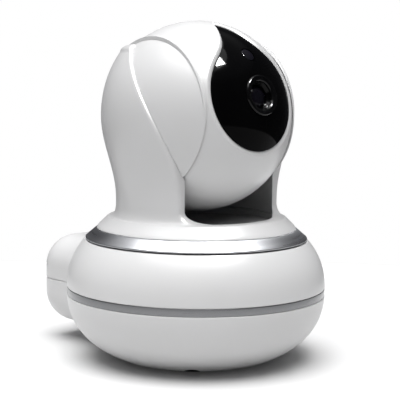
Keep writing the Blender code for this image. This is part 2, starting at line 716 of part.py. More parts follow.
def make_turntable():
    top = TABLE_Z + TABLE_TRIM_HEIGHT
    edge = TRIM_INNER_RADIUS - GAP
    hub_low = GEAR_Z - 0.0024
    profile = [(HUB_BORE_RADIUS, top), (edge, top), (edge, TABLE_Z), (HUB_RADIUS, TABLE_Z),
               (HUB_RADIUS, hub_low), (HUB_BORE_RADIUS, hub_low)]
    disc = lathe("turntable_disc", profile)
    cut(disc, box("cable_channel", (-0.0030, -0.0010, top - 0.0018),
                  (0.0030, CABLE_HOLE_Y + 0.0030, top + 0.001)))
    finish(disc, "white_shell", WHITE, 0.25)

    profile = [(TRIM_INNER_RADIUS, top), (TRIM_TOP_RADIUS, top),
               (TRIM_OUTER_RADIUS, TABLE_Z + 0.0004), (TRIM_OUTER_RADIUS, TABLE_Z),
               (TRIM_INNER_RADIUS, TABLE_Z)]
    finish(lathe("turntable_trim_ring", profile), "silver_trim", SILVER, 0.35, 0.8)

    high = GEAR_Z - GAP
    low = high - CLIP_THICKNESS
    inner = HUB_RADIUS + GAP
    clip = lathe("pan_retaining_clip", [(inner, high), (CLIP_RADIUS, high), (CLIP_RADIUS, low),
                                        (inner, low)], ROUND_STEPS)
    cut(clip, box("clip_gap", (-0.0030, 0.0, 0.0), (0.0030, FAR, FAR)))
    finish(clip, "screw_steel", STEEL, 0.35, 1.0)


# ---------------------------------------------------------------- yoke

def yoke_wall_radius(rise):
    """Outer radius of the yoke at a height above the tilt axis."""
    if rise > 0.0:
        return superellipse(rise, YOKE_DOME_SEMI_HEIGHT, YOKE_DOME_POWER, YOKE_RADIUS)
    middle = (YOKE_RADIUS + YOKE_WAIST_RADIUS) / 2
    swing = (YOKE_RADIUS - YOKE_WAIST_RADIUS) / 2
    return middle + swing * math.cos(math.pi * rise / YOKE_WAIST_DROP)


def wall_levels(top, bottom, count, inset):
    levels = [top + (bottom - top) * i / count for i in range(count + 1)]
    return [(yoke_wall_radius(rise) - inset, rise) for rise in levels]


def yoke_front_outline(forward, advance):
    """Side outline (y, height) of the space in front of the arms' front edges.

    The edge stands upright on the disc, then leans back in an even curve to the hood's
    top.  A fillet joins it to the disc.  advance moves the edge forward.
    """
    edge = ARM_FRONT_Y - advance
    height = ARM_TOP_RISE - ARM_LEAN_FROM
    rises = [ARM_TOP_RISE - height * i / LEAN_STEPS for i in range(LEAN_STEPS + 1)]
    points = [(edge + lean_back(rise - ARM_LEAN_FROM), rise) for rise in rises]
    centre_y = edge - ARM_FILLET
    centre_z = -YOKE_FLOOR_DROP + ARM_FILLET
    for i in range(FILLET_STEPS + 1):
        turn = math.pi / 2 * i / FILLET_STEPS
        points.append((centre_y + ARM_FILLET * math.cos(turn),
                       centre_z - ARM_FILLET * math.sin(turn)))
    points.append((forward, -YOKE_FLOOR_DROP))
    points.append((forward, ARM_TOP_RISE))
    return points


def lean_back(rise):
    """How far the arm's front edge has moved back at a height over where it leaves
    the vertical."""
    return ARM_LEAN * (rise / ARM_LEAN_HEIGHT) ** ARM_LEAN_POWER


def side_prism(name, outline):
    """A prism across the whole width, from a (y, height) outline at the tilt axis."""
    return outline_prism(name, outline, 4 * BASE_RADIUS, (math.pi / 2, 0, math.pi / 2),
                         (0, 0, BALL_Z))


def ball_body(name, radius, flat, steps=STEPS + 8, **where):
    """A ball with flat sides, turned about the X axis."""
    edge = math.acos(flat / radius)
    profile = [(0, flat)] + arc(radius, edge, math.pi - edge, 10) + [(0, -flat)]
    return lathe(name, profile, steps, closed=False, turn=(0, math.pi / 2, 0), **where)


def shape_back(item):
    """Draw the rear half of an upright turned shape out backwards and slim its quarters."""
    shape = bake(item)
    for corner in shape.data.vertices:
        radius = math.hypot(corner.co.x, corner.co.y)
        if corner.co.y <= 0.0 or radius == 0.0:
            continue
        across = (abs(corner.co.x) / radius) ** YOKE_BACK_POWER
        back = (corner.co.y / radius / YOKE_BACK_STRETCH) ** YOKE_BACK_POWER
        scale = (across + back) ** (-1.0 / YOKE_BACK_POWER)
        corner.co.x *= scale
        corner.co.y *= scale
    return shape


def yoke_hollow(name, inset):
    wall = wall_levels(YOKE_HOLLOW_TOP_RISE, -CRADLE_DROP, 7, YOKE_WALL + inset)
    cradle = CRADLE_RADIUS - inset
    profile = [(0, YOKE_HOLLOW_TOP_RISE)] + wall
    profile += [(cradle, -CRADLE_DROP - 0.0005), (cradle, -YOKE_FLOOR_DROP),
                (0, -YOKE_FLOOR_DROP)]
    made = lathe(name, profile, closed=False, place=(0, 0, BALL_Z))
    bpy.context.view_layer.update()
    return shape_back(made)


def make_yoke_shell():
    across = YOKE_LIP_RADIUS - YOKE_WAIST_RADIUS
    drop = YOKE_FLOOR_DROP - YOKE_FLARE_DROP
    flare = []
    for i in range(FLARE_STEPS + 1):
        turn = math.pi / 2 * i / FLARE_STEPS
        flare.append((YOKE_LIP_RADIUS - across * math.cos(turn),
                      -YOKE_FLARE_DROP - drop * math.sin(turn)))
    bottom = TABLE_Z + TABLE_TRIM_HEIGHT + GAP - BALL_Z
    profile = [(0, YOKE_TOP_RISE), (YOKE_TOP_RADIUS, YOKE_TOP_RISE)]
    profile += wall_levels(YOKE_SHOULDER_RISE, -YOKE_WAIST_DROP, 10, 0.0)
    profile += flare
    profile += [(YOKE_FLANGE_RADIUS - 0.0005, -YOKE_FLOOR_DROP - YOKE_FLANGE_BEVEL),
                (YOKE_FLANGE_RADIUS, bottom), (0, bottom)]
    solid = lathe("yoke_solid", profile, closed=False, place=(0, 0, BALL_Z))
    bpy.context.view_layer.update()
    yoke = shape_back(solid)
    yoke.name = "yoke_shell"
    cut(yoke, yoke_hollow("yoke_hollow", 0.0))
    cut(yoke, ball_body("ball_clearance", BALL_RADIUS + BALL_CLEARANCE, EAR_INNER_X,
                        place=(0, 0, BALL_Z)))
    cut(yoke, side_prism("yoke_front", yoke_front_outline(-FAR, 0.0)))
    cut(yoke, cylinders("cable_hole", [(0, CABLE_HOLE_Y, 0.0, BALL_Z - 0.0385, 0.0030)]))
    finish(yoke, "white_shell", WHITE, 0.25)


def ear_profile():
    """Cross-section of an ear cap about the tilt axis: (radius, distance outwards)."""
    outside = arc(EAR_RADIUS, 0.0, math.acos(EAR_LIP_X / EAR_RADIUS), 7)
    inside_radius = BALL_RADIUS + 0.0004
    edge = math.acos(EAR_INNER_X / inside_radius)
    inside = arc(inside_radius, math.acos(EAR_LIP_X / inside_radius), edge, 3)
    return outside + inside + [(0, EAR_INNER_X)]


def make_ear_cap(name, side):
    turn = (0, side * math.pi / 2, 0)
    centre = (0, 0, BALL_Z)
    cap = lathe(name, ear_profile(), closed=False, place=centre, turn=turn)
    slant = box(name + "_seam", (-FAR, -FAR, -FAR), (EAR_SEAM_X, FAR, FAR))
    slant.location = centre
    slant.rotation_euler = (0, -EAR_SEAM_LEAN, 0 if side > 0 else math.pi)
    cut(cap, slant)
    wall = side_prism(name + "_wall", yoke_rear_outline())
    cut(wall, yoke_hollow(name + "_inside", GAP))
    cut(cap, wall)
    cut(cap, box(name + "_back", (-FAR, EAR_BACK_Y, -FAR), (FAR, FAR, FAR), place=centre))
    low = BALL_FLAT_X - 0.0008
    high = BALL_FLAT_X + 0.0047
    pocket = [(0.0070, high), (0.0180, high), (0.0180, low), (0.0070, low)]
    cut(cap, lathe(name + "_pocket", pocket, ROUND_STEPS, place=centre, turn=turn))
    bore = (TILT_SHAFT_RADIUS if side > 0 else PIVOT_PIN_RADIUS) + PIVOT_CLEARANCE
    socket = [(0, 0, BALL_FLAT_X - 0.0048, PIVOT_END_X + 0.0004, bore)]
    cut(cap, cylinders(name + "_socket", socket, place=centre, turn=turn))
    finish(cap, "white_shell", WHITE, 0.25)


def yoke_rear_outline():
    """Side outline of everything behind the arms' front edges."""
    front = [point for point in yoke_front_outline(-FAR, GAP) if point[0] > ARM_FRONT_Y - 0.002]
    return front + [(front[-1][0], -FAR), (FAR, -FAR), (FAR, front[0][1])]


def make_pivots():
    centre = (0, 0, BALL_Z)
    start = BALL_FLAT_X - 0.0068
    shaft = cylinders("tilt_shaft", [(0, 0, start, PIVOT_END_X, TILT_SHAFT_RADIUS)], ROUND_STEPS,
                      place=centre, turn=(0, math.pi / 2, 0))
    finish(shaft, "screw_steel", STEEL, 0.35, 1.0)
    start = BALL_FLAT_X - 0.0048
    pin = lathe("left_pivot_pin", [(PIVOT_PIN_BORE, PIVOT_END_X), (PIVOT_PIN_RADIUS, PIVOT_END_X),
                                   (PIVOT_PIN_RADIUS, start), (PIVOT_PIN_BORE, start)],
                ROUND_STEPS, place=centre, turn=(0, -math.pi / 2, 0))
    finish(pin, "screw_steel", STEEL, 0.35, 1.0)


# ---------------------------------------------------------------- head

HEAD_AXIS = bpy.data.objects.new("tilt_axis", None)
PARTS.objects.link(HEAD_AXIS)
HEAD_AXIS.location = (0, 0, BALL_Z)
HEAD_AXIS.rotation_euler = (-LENS_ELEVATION, 0, 0)
FORWARD = (math.pi / 2, 0, 0)


def panel_angle(clock):
    """Angle from the lens axis to the panel's edge, in the direction clock."""
    point = math.exp(-((abs(clock) / PANEL_POINT_SPREAD) ** PANEL_POINT_POWER))
    return PANEL_DISC_ANGLE + PANEL_POINT_ANGLE * point


def panel_outline(margin):
    """The panel's edge as seen along the lens axis, from its point round and back."""
    clocks = [math.radians(a) for a in (0, 3, 6.5, 10.5, 15, 20.5, 27, 35, 45, 58)]
    clocks += [math.radians(58 + 12.2 * i) for i in range(1, 11)]
    clocks += [-clock for clock in reversed(clocks[1:-1])]
    points = []
    for clock in clocks:
        reach = PANEL_RADIUS * math.sin(panel_angle(clock)) + margin
        points.append((reach * math.sin(clock), reach * math.cos(clock)))
    return points


def panel_prism(name, margin, near, far):
    return outline_prism(name, panel_outline(margin), far - near, FORWARD,
                         (0, -(near + far) / 2, 0), HEAD_AXIS)


def head_shell(name):
    shell = ball_body(name, BALL_RADIUS, BALL_FLAT_X, parent=HEAD_AXIS)
    inner = ball_body(name + "_hollow", BALL_RADIUS - HEAD_WALL, BALL_FLAT_X - HEAD_WALL,
                      24, parent=HEAD_AXIS)
    return cut(shell, inner)


def make_front_shell():
    shell = head_shell("head_front_shell")
    cut(shell, box("front_cut", (-FAR, HEAD_SPLIT_Y - GAP / 2, -FAR), (FAR, FAR, FAR),
                   parent=HEAD_AXIS))
    cut(shell, panel_prism("panel_opening", GAP, 0.0050, 0.0450))
    near = BALL_FLAT_X - 0.0048
    far = BALL_FLAT_X + 0.0052
    holes = [(0, 0, -far, -near, LEFT_BUSH_RADIUS + GAP), (0, 0, near, far,
                                                         RIGHT_BUSH_RADIUS + GAP)]
    cut(shell, cylinders("pivot_holes", holes, turn=(0, math.pi / 2, 0), parent=HEAD_AXIS))
    finish(shell, "white_shell", WHITE, 0.25)


def make_rear_shell():
    shell = head_shell("head_rear_shell")
    cut(shell, box("rear_cut", (-FAR, -FAR, -FAR), (FAR, HEAD_SPLIT_Y + GAP / 2, FAR),
                   parent=HEAD_AXIS))
    finish(shell, "white_shell", WHITE, 0.25)


def make_face_panel():
    panel = panel_prism("face_panel", 0.0, 0.0080, 0.0450)
    cut(panel, ball_body("panel_outside", PANEL_RADIUS, 0.0300, parent=HEAD_AXIS), "INTERSECT")
    cut(panel, ball_body("panel_inside", PANEL_RADIUS - PANEL_THICKNESS, 0.0300, 24,
                         parent=HEAD_AXIS))
    cut(panel, cylinders("lens_opening", [(0, 0, 0.0200, 0.0450, LENS_BEZEL_RADIUS + GAP)],
                         turn=FORWARD, parent=HEAD_AXIS))
    tilt = (math.pi / 2 - SENSOR_WINDOW_ANGLE, 0, 0)
    cut(panel, cylinders("sensor_opening", [(0, 0, 0.0200, 0.0450,
                                             SENSOR_WINDOW_RADIUS + GAP)],
                         SMALL_STEPS, turn=tilt, parent=HEAD_AXIS))
    finish(panel, "black_gloss", BLACK, 0.06)
    low = PANEL_RADIUS - PANEL_THICKNESS
    window = cylinders("light_sensor_window", [(0, 0, low, PANEL_RADIUS - 0.0003,
                                                SENSOR_WINDOW_RADIUS)], SMALL_STEPS,
                       turn=tilt, parent=HEAD_AXIS)
    finish(window, "lens_glass", GLASS, 0.05)
    sensor = box("light_sensor", (-0.0015, -0.0010, low - 0.0030), (0.0015, 0.0010, low - 0.0006),
                 turn=tilt, parent=HEAD_AXIS)
    finish(sensor, "black_plastic", BLACK, 0.45)


def square_block(name, half, span):
    """A square block across the lens axis."""
    return box(name, (-half, -half, span[0]), (half, half, span[1]), turn=FORWARD,
               parent=HEAD_AXIS)


def make_lens():
    where = {"turn": FORWARD, "parent": HEAD_AXIS}
    ring = [(0.0058, 0.0353), (0.0076, 0.0356), (LENS_BEZEL_RADIUS, 0.0352),
            (LENS_BEZEL_RADIUS, LENS_SHELF), (0.0073, LENS_SHELF), (0.0073, 0.0337),
            (0.0058, 0.0343)]
    finish(lathe("lens_bezel", ring, 32, **where), "black_gloss", BLACK, 0.06)
    barrel = [(BARREL_BORE_RADIUS, 0.0330), (0.0070, 0.0330), (0.0070, LENS_SHELF),
              (BARREL_RADIUS, LENS_SHELF), (BARREL_RADIUS, BARREL_BACK),
              (BARREL_BORE_RADIUS, BARREL_BACK)]
    finish(lathe("lens_barrel", barrel, **where, steps=ROUND_STEPS), "black_plastic", BLACK, 0.45)
    glass = [(0, 0.0338), (0.0015, 0.0336), (0.0030, 0.0329), (LENS_RADIUS, 0.0318),
             (LENS_RADIUS, LENS_SHELF), (0, LENS_SHELF)]
    finish(lathe("lens_glass", glass, ROUND_STEPS, closed=False, **where), "lens_glass",
           GLASS, 0.05)
    holder = square_block("lens_holder", HOLDER_HALF_WIDTH, HOLDER_SPAN)
    tube = [(0, 0, HOLDER_SPAN[0] + OVER, HOLDER_TUBE_END, HOLDER_TUBE_RADIUS)]
    cut(holder, cylinders("holder_tube", tube, **where), "UNION")
    bore = [(0, 0, HOLDER_SPAN[0] - OVER, HOLDER_TUBE_END + OVER, BARREL_RADIUS + GAP)]
    cut(holder, cylinders("holder_bore", bore, **where))
    finish(holder, "black_plastic", BLACK, 0.45)
    board = square_block("image_sensor_board", SENSOR_BOARD_HALF_WIDTH, SENSOR_BOARD_SPAN)
    finish(board, "circuit_board", BOARD_GREEN, 0.5)
    chip = square_block("image_sensor", SENSOR_HALF_WIDTH, SENSOR_SPAN)
    finish(chip, "lens_glass", GLASS, 0.05)


def make_infrared_lights():
    where = {"turn": FORWARD, "parent": HEAD_AXIS}
    inner, outer = IR_BOARD_RADII
    low, high = IR_BOARD_SPAN
    board = lathe("ir_board", [(inner, high), (outer, high), (outer, low), (inner, low)],
                  ROUND_STEPS, **where)
    finish(board, "circuit_board", BOARD_GREEN, 0.5)
    for number in range(IR_LED_COUNT):
        turn = 2 * math.pi * (number + 0.5) / IR_LED_COUNT
        x = IR_LED_CIRCLE * math.cos(turn)
        y = IR_LED_CIRCLE * math.sin(turn)
        led = cylinders(f"ir_led_{number + 1}", [(x, y, *IR_LED_SPAN, IR_LED_RADIUS)],
                        SMALL_STEPS, **where)
        finish(led, "lens_glass", GLASS, 0.05)
    microphone = cylinders("microphone", [(0, MICROPHONE_Y, *MICROPHONE_SPAN,
                                           MICROPHONE_RADIUS)], SMALL_STEPS, **where)
    finish(microphone, "screw_steel", STEEL, 0.35, 1.0)


def make_tilt_drive():
    sideways = {"turn": (0, math.pi / 2, 0), "parent": HEAD_AXIS}
    face = BALL_FLAT_X - HEAD_WALL - 0.0004
    back = face - TILT_MOTOR_LENGTH
    well = face - 0.0057
    bore = TILT_SHAFT_RADIUS + PIVOT_CLEARANCE
    motor = lathe("tilt_motor", [(0, well), (bore, well), (bore, face),
                                 (TILT_MOTOR_RADIUS, face), (TILT_MOTOR_RADIUS, back),
                                 (0, back)], ROUND_STEPS, closed=False, **sideways)
    finish(motor, "screw_steel", STEEL, 0.35, 1.0)
    low = BALL_FLAT_X - HEAD_WALL
    high = BALL_FLAT_X - 0.0002
    inner = TILT_SHAFT_RADIUS + GAP
    bush = [(inner, high), (RIGHT_BUSH_RADIUS, high), (RIGHT_BUSH_RADIUS, low), (inner, low)]
    finish(lathe("right_tilt_bush", bush, ROUND_STEPS, **sideways), "nylon", NYLON, 0.5)
    inner = PIVOT_PIN_RADIUS + GAP
    bush = [(inner, high), (LEFT_BUSH_RADIUS, high), (LEFT_BUSH_RADIUS, low), (inner, low)]
    finish(lathe("left_tilt_bush", bush, ROUND_STEPS, turn=(0, -math.pi / 2, 0),
                 parent=HEAD_AXIS), "nylon", NYLON, 0.5)


make_lower_shell()
make_upper_shell()
make_trim_ring()
make_foot_pad()
make_base_screws()
make_main_board()
make_ethernet_port()
make_power_port()
make_reset()
make_port_bezel()
make_speaker()
make_antenna()
make_pan_drive()
make_turntable()
make_yoke_shell()
make_ear_cap("left_ear_cap", -1)
make_ear_cap("right_ear_cap", 1)
make_pivots()
make_front_shell()
make_rear_shell()
make_face_panel()
make_lens()
make_infrared_lights()
make_tilt_drive()
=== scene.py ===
"""The looks of the pan-and-tilt baby monitor camera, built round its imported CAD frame.

Fine pieces stand for the CAD nodes that show: the two base shells with the port housing
blended into them, the trim rings, the hood-like yoke, its ear caps and the camera head.
The other nodes keep their CAD shape and get a procedural material.

Metres, +Z up.  The front faces -Y.  The origin is on the pan axis, under the foot pad.
"""
import json
import math

import bmesh
import bpy
import numpy as np
from mathutils import Matrix, Vector


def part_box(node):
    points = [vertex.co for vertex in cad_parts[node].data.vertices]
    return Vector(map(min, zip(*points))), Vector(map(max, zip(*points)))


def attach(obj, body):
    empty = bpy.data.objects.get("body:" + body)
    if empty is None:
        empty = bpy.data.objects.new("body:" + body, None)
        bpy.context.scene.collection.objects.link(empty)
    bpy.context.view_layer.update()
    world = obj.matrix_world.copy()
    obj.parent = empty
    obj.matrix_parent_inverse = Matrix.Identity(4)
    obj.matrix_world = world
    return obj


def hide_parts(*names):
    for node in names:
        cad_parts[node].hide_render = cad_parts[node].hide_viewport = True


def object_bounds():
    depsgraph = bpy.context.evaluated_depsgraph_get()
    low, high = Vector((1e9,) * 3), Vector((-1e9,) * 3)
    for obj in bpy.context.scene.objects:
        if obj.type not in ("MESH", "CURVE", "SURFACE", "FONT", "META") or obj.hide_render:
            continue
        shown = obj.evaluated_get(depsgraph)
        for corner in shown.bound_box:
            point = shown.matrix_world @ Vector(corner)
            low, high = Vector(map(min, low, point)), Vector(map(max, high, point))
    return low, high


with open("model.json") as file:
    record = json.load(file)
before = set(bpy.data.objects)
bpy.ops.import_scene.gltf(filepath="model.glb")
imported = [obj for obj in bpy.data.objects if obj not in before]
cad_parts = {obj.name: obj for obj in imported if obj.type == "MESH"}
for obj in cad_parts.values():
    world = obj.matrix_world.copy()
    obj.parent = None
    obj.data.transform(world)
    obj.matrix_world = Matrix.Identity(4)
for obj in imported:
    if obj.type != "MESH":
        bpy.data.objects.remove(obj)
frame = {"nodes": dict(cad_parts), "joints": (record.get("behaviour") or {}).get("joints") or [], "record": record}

CAD_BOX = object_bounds()

# Places that the frame gives.
TILT = next(joint for joint in frame["joints"] if joint["name"] == "tilt")
BALL_CENTRE = np.array(TILT["pos_m"])
BALL_Z = BALL_CENTRE[2]
TRIM_LOW, TRIM_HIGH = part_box("base_trim_ring")
BASE_RADIUS = TRIM_HIGH.x
SEAM_Z = (TRIM_LOW.z + TRIM_HIGH.z) / 2
HOUSING_REACH = CAD_BOX[1].y
UNDERSIDE_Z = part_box("base_lower_shell")[0].z
DECK_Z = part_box("base_upper_shell")[1].z
FOOT_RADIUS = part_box("foot_pad")[1].x
FOOT_TOP_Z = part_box("foot_pad")[1].z
TABLE_RING_LOW, TABLE_RING_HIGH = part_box("turntable_trim_ring")
DISC_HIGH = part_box("turntable_disc")[1]
BEZEL_LOW, BEZEL_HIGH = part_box("port_bezel")
GLASS_LOW, GLASS_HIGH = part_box("lens_glass")
LENS_AXIS = ((GLASS_LOW + GLASS_HIGH) / 2 - Vector(BALL_CENTRE)).normalized()
LENS_ELEVATION = math.asin(LENS_AXIS.z)

# Shapes of the base.  The turntable ring, the deck and the silver line's upper edge sit a
# little lower than in the CAD.
GAP = 0.0003
SEAM_GAP = 0.0001
RING_SINK = 0.0004
STRIPE_TOP_Z = TRIM_HIGH.z - 0.0006
STRIPE_DEPTH = 0.0035
WALL = 0.0022
BOWL_FLOOR = 0.0030
EDGE = 0.0003
DECK_RING_RADIUS = 0.0300
HUB_HOLE_RADIUS = 0.0080
DOME_SEMI_HEIGHT = 0.0329
DOME_POWER = 2.3
BOWL_SEMI_HEIGHT = 0.0306
BOWL_POWER = 2.32
HOUSING_START_Y = -0.0080
HOUSING_HALF_WIDTH = 0.0270
HOUSING_LOW_Z = 0.0068
HOUSING_HIGH_Z = 0.0430
HOUSING_ROUNDING = 0.0130
HOUSING_BLEND = 0.0070
SCREW_CIRCLE = 0.0310
SCREW_WELL_RADIUS = 0.0030
SCREW_WELL_TOP = 0.0195
SLOT_LOW_Z = 0.0130
SLOT_HIGH_Z = 0.0215
SLOT_SPACING = 0.0040
SLOT_WIDTH = 0.0016
SLOT_REACH = (0.0300, 0.0700)
GROOVE_RADII = (0.022, 0.016, 0.010)
GROOVE_DEPTH = 0.0003

# The port housing's block, from the base's centre, and the rims where the shells meet.
HOUSING_LOW = np.array((-HOUSING_HALF_WIDTH, HOUSING_START_Y, HOUSING_LOW_Z - SEAM_Z))
HOUSING_HIGH = np.array((HOUSING_HALF_WIDTH, HOUSING_REACH, HOUSING_HIGH_Z - SEAM_Z))
HOUSING_MIDDLE = (HOUSING_LOW + HOUSING_HIGH) / 2
HOUSING_HALF = (HOUSING_HIGH - HOUSING_LOW) / 2
RIM_HALF_X = HOUSING_HALF_WIDTH + GAP
LOWER_RIM_Z = TRIM_LOW.z - SEAM_GAP
UPPER_RIM_Z = STRIPE_TOP_Z + SEAM_GAP

# Shapes of the yoke; heights are measured from the tilt axis.
YOKE_RADIUS = 0.0372
WAIST_RADIUS = 0.0317
WAIST_DROP = 0.0315
HOOD_SEMI_HEIGHT = 0.0410
HOOD_POWER = 2.1
YOKE_WALL = 0.0036
BACK_STRETCH = 1.030
BACK_POWER = 1.9
TOP_NARROWING = 0.055
FLARE_DROP = 0.0338
FLOOR_DROP = 0.0382
LIP_RADIUS = 0.0342
FLARE_RADIUS = 0.0336
RECESS_RADIUS = 0.0290
RECESS_DEPTH = 0.0024
FLANGE_RADIUS = 0.0386
ARM_FRONT_Y = -0.0184
ARM_LEAN = 0.0276
ARM_LEAN_FROM = -0.0170
ARM_LEAN_HEIGHT = 0.0440
ARM_LEAN_POWER = 1.7
ARM_FILLET_HEIGHT = 0.0045
ARM_FILLET_REACH = 0.0080
ARM_ROUNDING = 0.0014
TOP_ROUNDING = 0.0005
BALL_CLEARANCE = 0.0005
CRADLE_RADIUS = 0.0293
HOOD_SHOULDER = 0.0242
HOOD_TOP = 0.0270
HOOD_RIM_RADIUS = 0.0262
YOKE_STEPS = 72

# Shapes of the head.
BALL_RADIUS = 0.0362
BALL_FLAT_X = 0.0232
HEAD_WALL = 0.0022
HEAD_SPLIT_Y = 0.0140
TILT_SHAFT_HOLE = 0.0055
PIVOT_PIN_HOLE = 0.0045
PIVOT_HOLE_REACH = (0.018, 0.030)
EAR_RADIUS = 0.0370
EAR_INNER_X = 0.0237
EAR_SEAM_X = 0.0229
EAR_SEAM_LEAN = math.tan(math.radians(3.4))
EAR_HOLLOWING = 0.05
PANEL_RADIUS = 0.0356
PANEL_THICKNESS = 0.0018
PANEL_DISC_ANGLE = math.radians(34.0)
PANEL_POINT_ANGLE = math.radians(28.5)
PANEL_POINT_SPREAD = math.radians(13.5)
PANEL_POINT_POWER = 1.2
LENS_BEZEL_RADIUS = 0.0076
SENSOR_WINDOW_ANGLE = math.radians(26.7)
SENSOR_WINDOW_RADIUS = 0.0027
SENSOR_HOLE_REACH = (0.020, 0.045)
LIP_WIDTH = 0.0017
LIP_DEPTH = 0.0010
OPENING_MARGIN = 0.0003
HEAD_STEPS = 300
NO_FLAT = 0.0500

# The camera.
CAMERA_TURN = math.radians(-43.2)
CAMERA_ELEVATION = math.radians(6.3)
CAMERA_DISTANCE = 0.464
CAMERA_ROLL = math.radians(0.61)
CAMERA_LENS = 108.0
CAMERA_TARGET = Vector((0.00095, -0.00084, 0.0610))

# Light comes from a large overhead softbox and a small strong one in front of it; the
# sides of the studio are dark.
SOFTBOX_EDGE = 0.60
SOFTBOX_FULL = 0.72
SOFTBOX_AXIS = (-0.04, 0.04, 1.0)
SIDE_LIGHT = (0.05, 0.05, 0.055)
OVERHEAD_LIGHT = (0.4, 0.4, 0.41)
TOP_DIRECTION = Vector((-0.14, -0.06, 1.0))
TOP_SPREAD = math.radians(60)
TOP_STRENGTH = 5.2
KEY_DIRECTION = Vector((0.02, -0.44, 0.90))
KEY_DISTANCE = 0.25
KEY_WIDTH = 0.046
KEY_SPREAD = math.radians(30)
KEY_POWER = 0.28

# A round sheet, moved towards the camera.
FLOOR_RADIUS = 0.45
FLOOR_SHIFT = 0.22

# Points in a full turn.
ROUND = 240


# ---------------------------------------------------------------- materials

def new_material(name):
    """A new material with its nodes, links, shader and the object's own coordinates."""
    made = bpy.data.materials.new(name)
    made.use_nodes = True
    nodes = made.node_tree.nodes
    links = made.node_tree.links
    shader = nodes["Principled BSDF"]
    coordinates = nodes.new("ShaderNodeTexCoord")
    return made, nodes, links, shader, coordinates.outputs["Object"]


def noise(nodes, links, where, scale, detail=3.0, stretch=None):
    """A noise texture at the coordinates where, as a grey value."""
    if stretch:
        mapping = nodes.new("ShaderNodeMapping")
        mapping.inputs["Scale"].default_value = stretch
        links.new(where, mapping.inputs["Vector"])
        where = mapping.outputs["Vector"]
    grain = nodes.new("ShaderNodeTexNoise")
    grain.inputs["Scale"].default_value = scale
    grain.inputs["Detail"].default_value = detail
    links.new(where, grain.inputs["Vector"])
    return grain.outputs["Fac"]


def ramp(nodes, links, value, low, high, start=0.35, end=0.65):
    """Turn a grey value into a colour between low and high."""
    made = nodes.new("ShaderNodeValToRGB")
    made.color_ramp.elements[0].position = start
    made.color_ramp.elements[0].color = (*low, 1.0)
    made.color_ramp.elements[1].position = end
    made.color_ramp.elements[1].color = (*high, 1.0)
    links.new(value, made.inputs["Fac"])
    return made.outputs["Color"]


def spread(nodes, links, value, low, high):
    """Map a grey value onto the range from low to high."""
    made = nodes.new("ShaderNodeMapRange")
    made.inputs["From Min"].default_value = 0.3
    made.inputs["From Max"].default_value = 0.7
    made.inputs["To Min"].default_value = low
    made.inputs["To Max"].default_value = high
    links.new(value, made.inputs["Value"])
    return made.outputs["Result"]


def add_bump(nodes, links, shader, value, strength, distance):
    bump = nodes.new("ShaderNodeBump")
    bump.inputs["Strength"].default_value = strength
    bump.inputs["Distance"].default_value = distance
    links.new(value, bump.inputs["Height"])
    links.new(bump.outputs["Normal"], shader.inputs["Normal"])


def surface(name, low, high, mottle, roughness, grain, strength, distance, stretch=None,
            **constants):
    """A material whose colour and roughness vary a little and whose grain is a bump."""
    made, nodes, links, shader, where = new_material(name)
    cloud = noise(nodes, links, where, mottle, stretch=stretch)
    links.new(ramp(nodes, links, cloud, low, high), shader.inputs["Base Color"])
    smudge = noise(nodes, links, where, mottle * 2.7, detail=4.0, stretch=stretch)
    links.new(spread(nodes, links, smudge, *roughness), shader.inputs["Roughness"])
    fine = noise(nodes, links, where, grain, detail=2.0, stretch=stretch)
    add_bump(nodes, links, shader, fine, strength, distance)
    for socket, value in constants.items():
        shader.inputs[socket.replace("_", " ")].default_value = value
    return made


def white_plastic(name, tone):
    """Smooth satin plastic that is almost one tone."""
    low = (tone * 0.99, tone * 0.99, tone * 0.99)
    high = (tone, tone, tone * 1.003)
    return surface(name, low, high, 60, (0.32, 0.34), 2600, 0.01, 0.00001,
                   Coat_Weight=0.05, Coat_Roughness=0.12, IOR=1.40)


def silver_paint(name, tone):
    """Satin silver coating: metallic flake, and streaks that run round the ring."""
    made, nodes, links, shader, where = new_material(name)
    flake = noise(nodes, links, where, 5200, detail=1.0)
    low = (tone * 0.88, tone * 0.90, tone * 0.93)
    high = (tone, tone * 1.01, tone * 1.04)
    links.new(ramp(nodes, links, flake, low, high), shader.inputs["Base Color"])
    streak = noise(nodes, links, where, 900, detail=3.0, stretch=(0.02, 0.02, 1.0))
    links.new(spread(nodes, links, streak, 0.26, 0.33), shader.inputs["Roughness"])
    add_bump(nodes, links, shader, flake, 0.06, 0.00002)
    shader.inputs["Metallic"].default_value = 1.0
    shader.inputs["Coat Weight"].default_value = 0.3
    shader.inputs["Coat Roughness"].default_value = 0.2
    return made


def circuit_board(name):
    """Green solder mask over a faint pattern of copper tracks."""
    made, nodes, links, shader, where = new_material(name)
    tracks = nodes.new("ShaderNodeTexVoronoi")
    tracks.feature = "DISTANCE_TO_EDGE"
    tracks.distance = "EUCLIDEAN"
    tracks.inputs["Scale"].default_value = 420
    links.new(where, tracks.inputs["Vector"])
    colour = ramp(nodes, links, tracks.outputs["Distance"], (0.06, 0.26, 0.10),
                  (0.012, 0.10, 0.045), 0.02, 0.09)
    links.new(colour, shader.inputs["Base Color"])
    mask = noise(nodes, links, where, 900)
    links.new(spread(nodes, links, mask, 0.30, 0.45), shader.inputs["Roughness"])
    add_bump(nodes, links, shader, tracks.outputs["Distance"], 0.2, 0.00003)
    return made


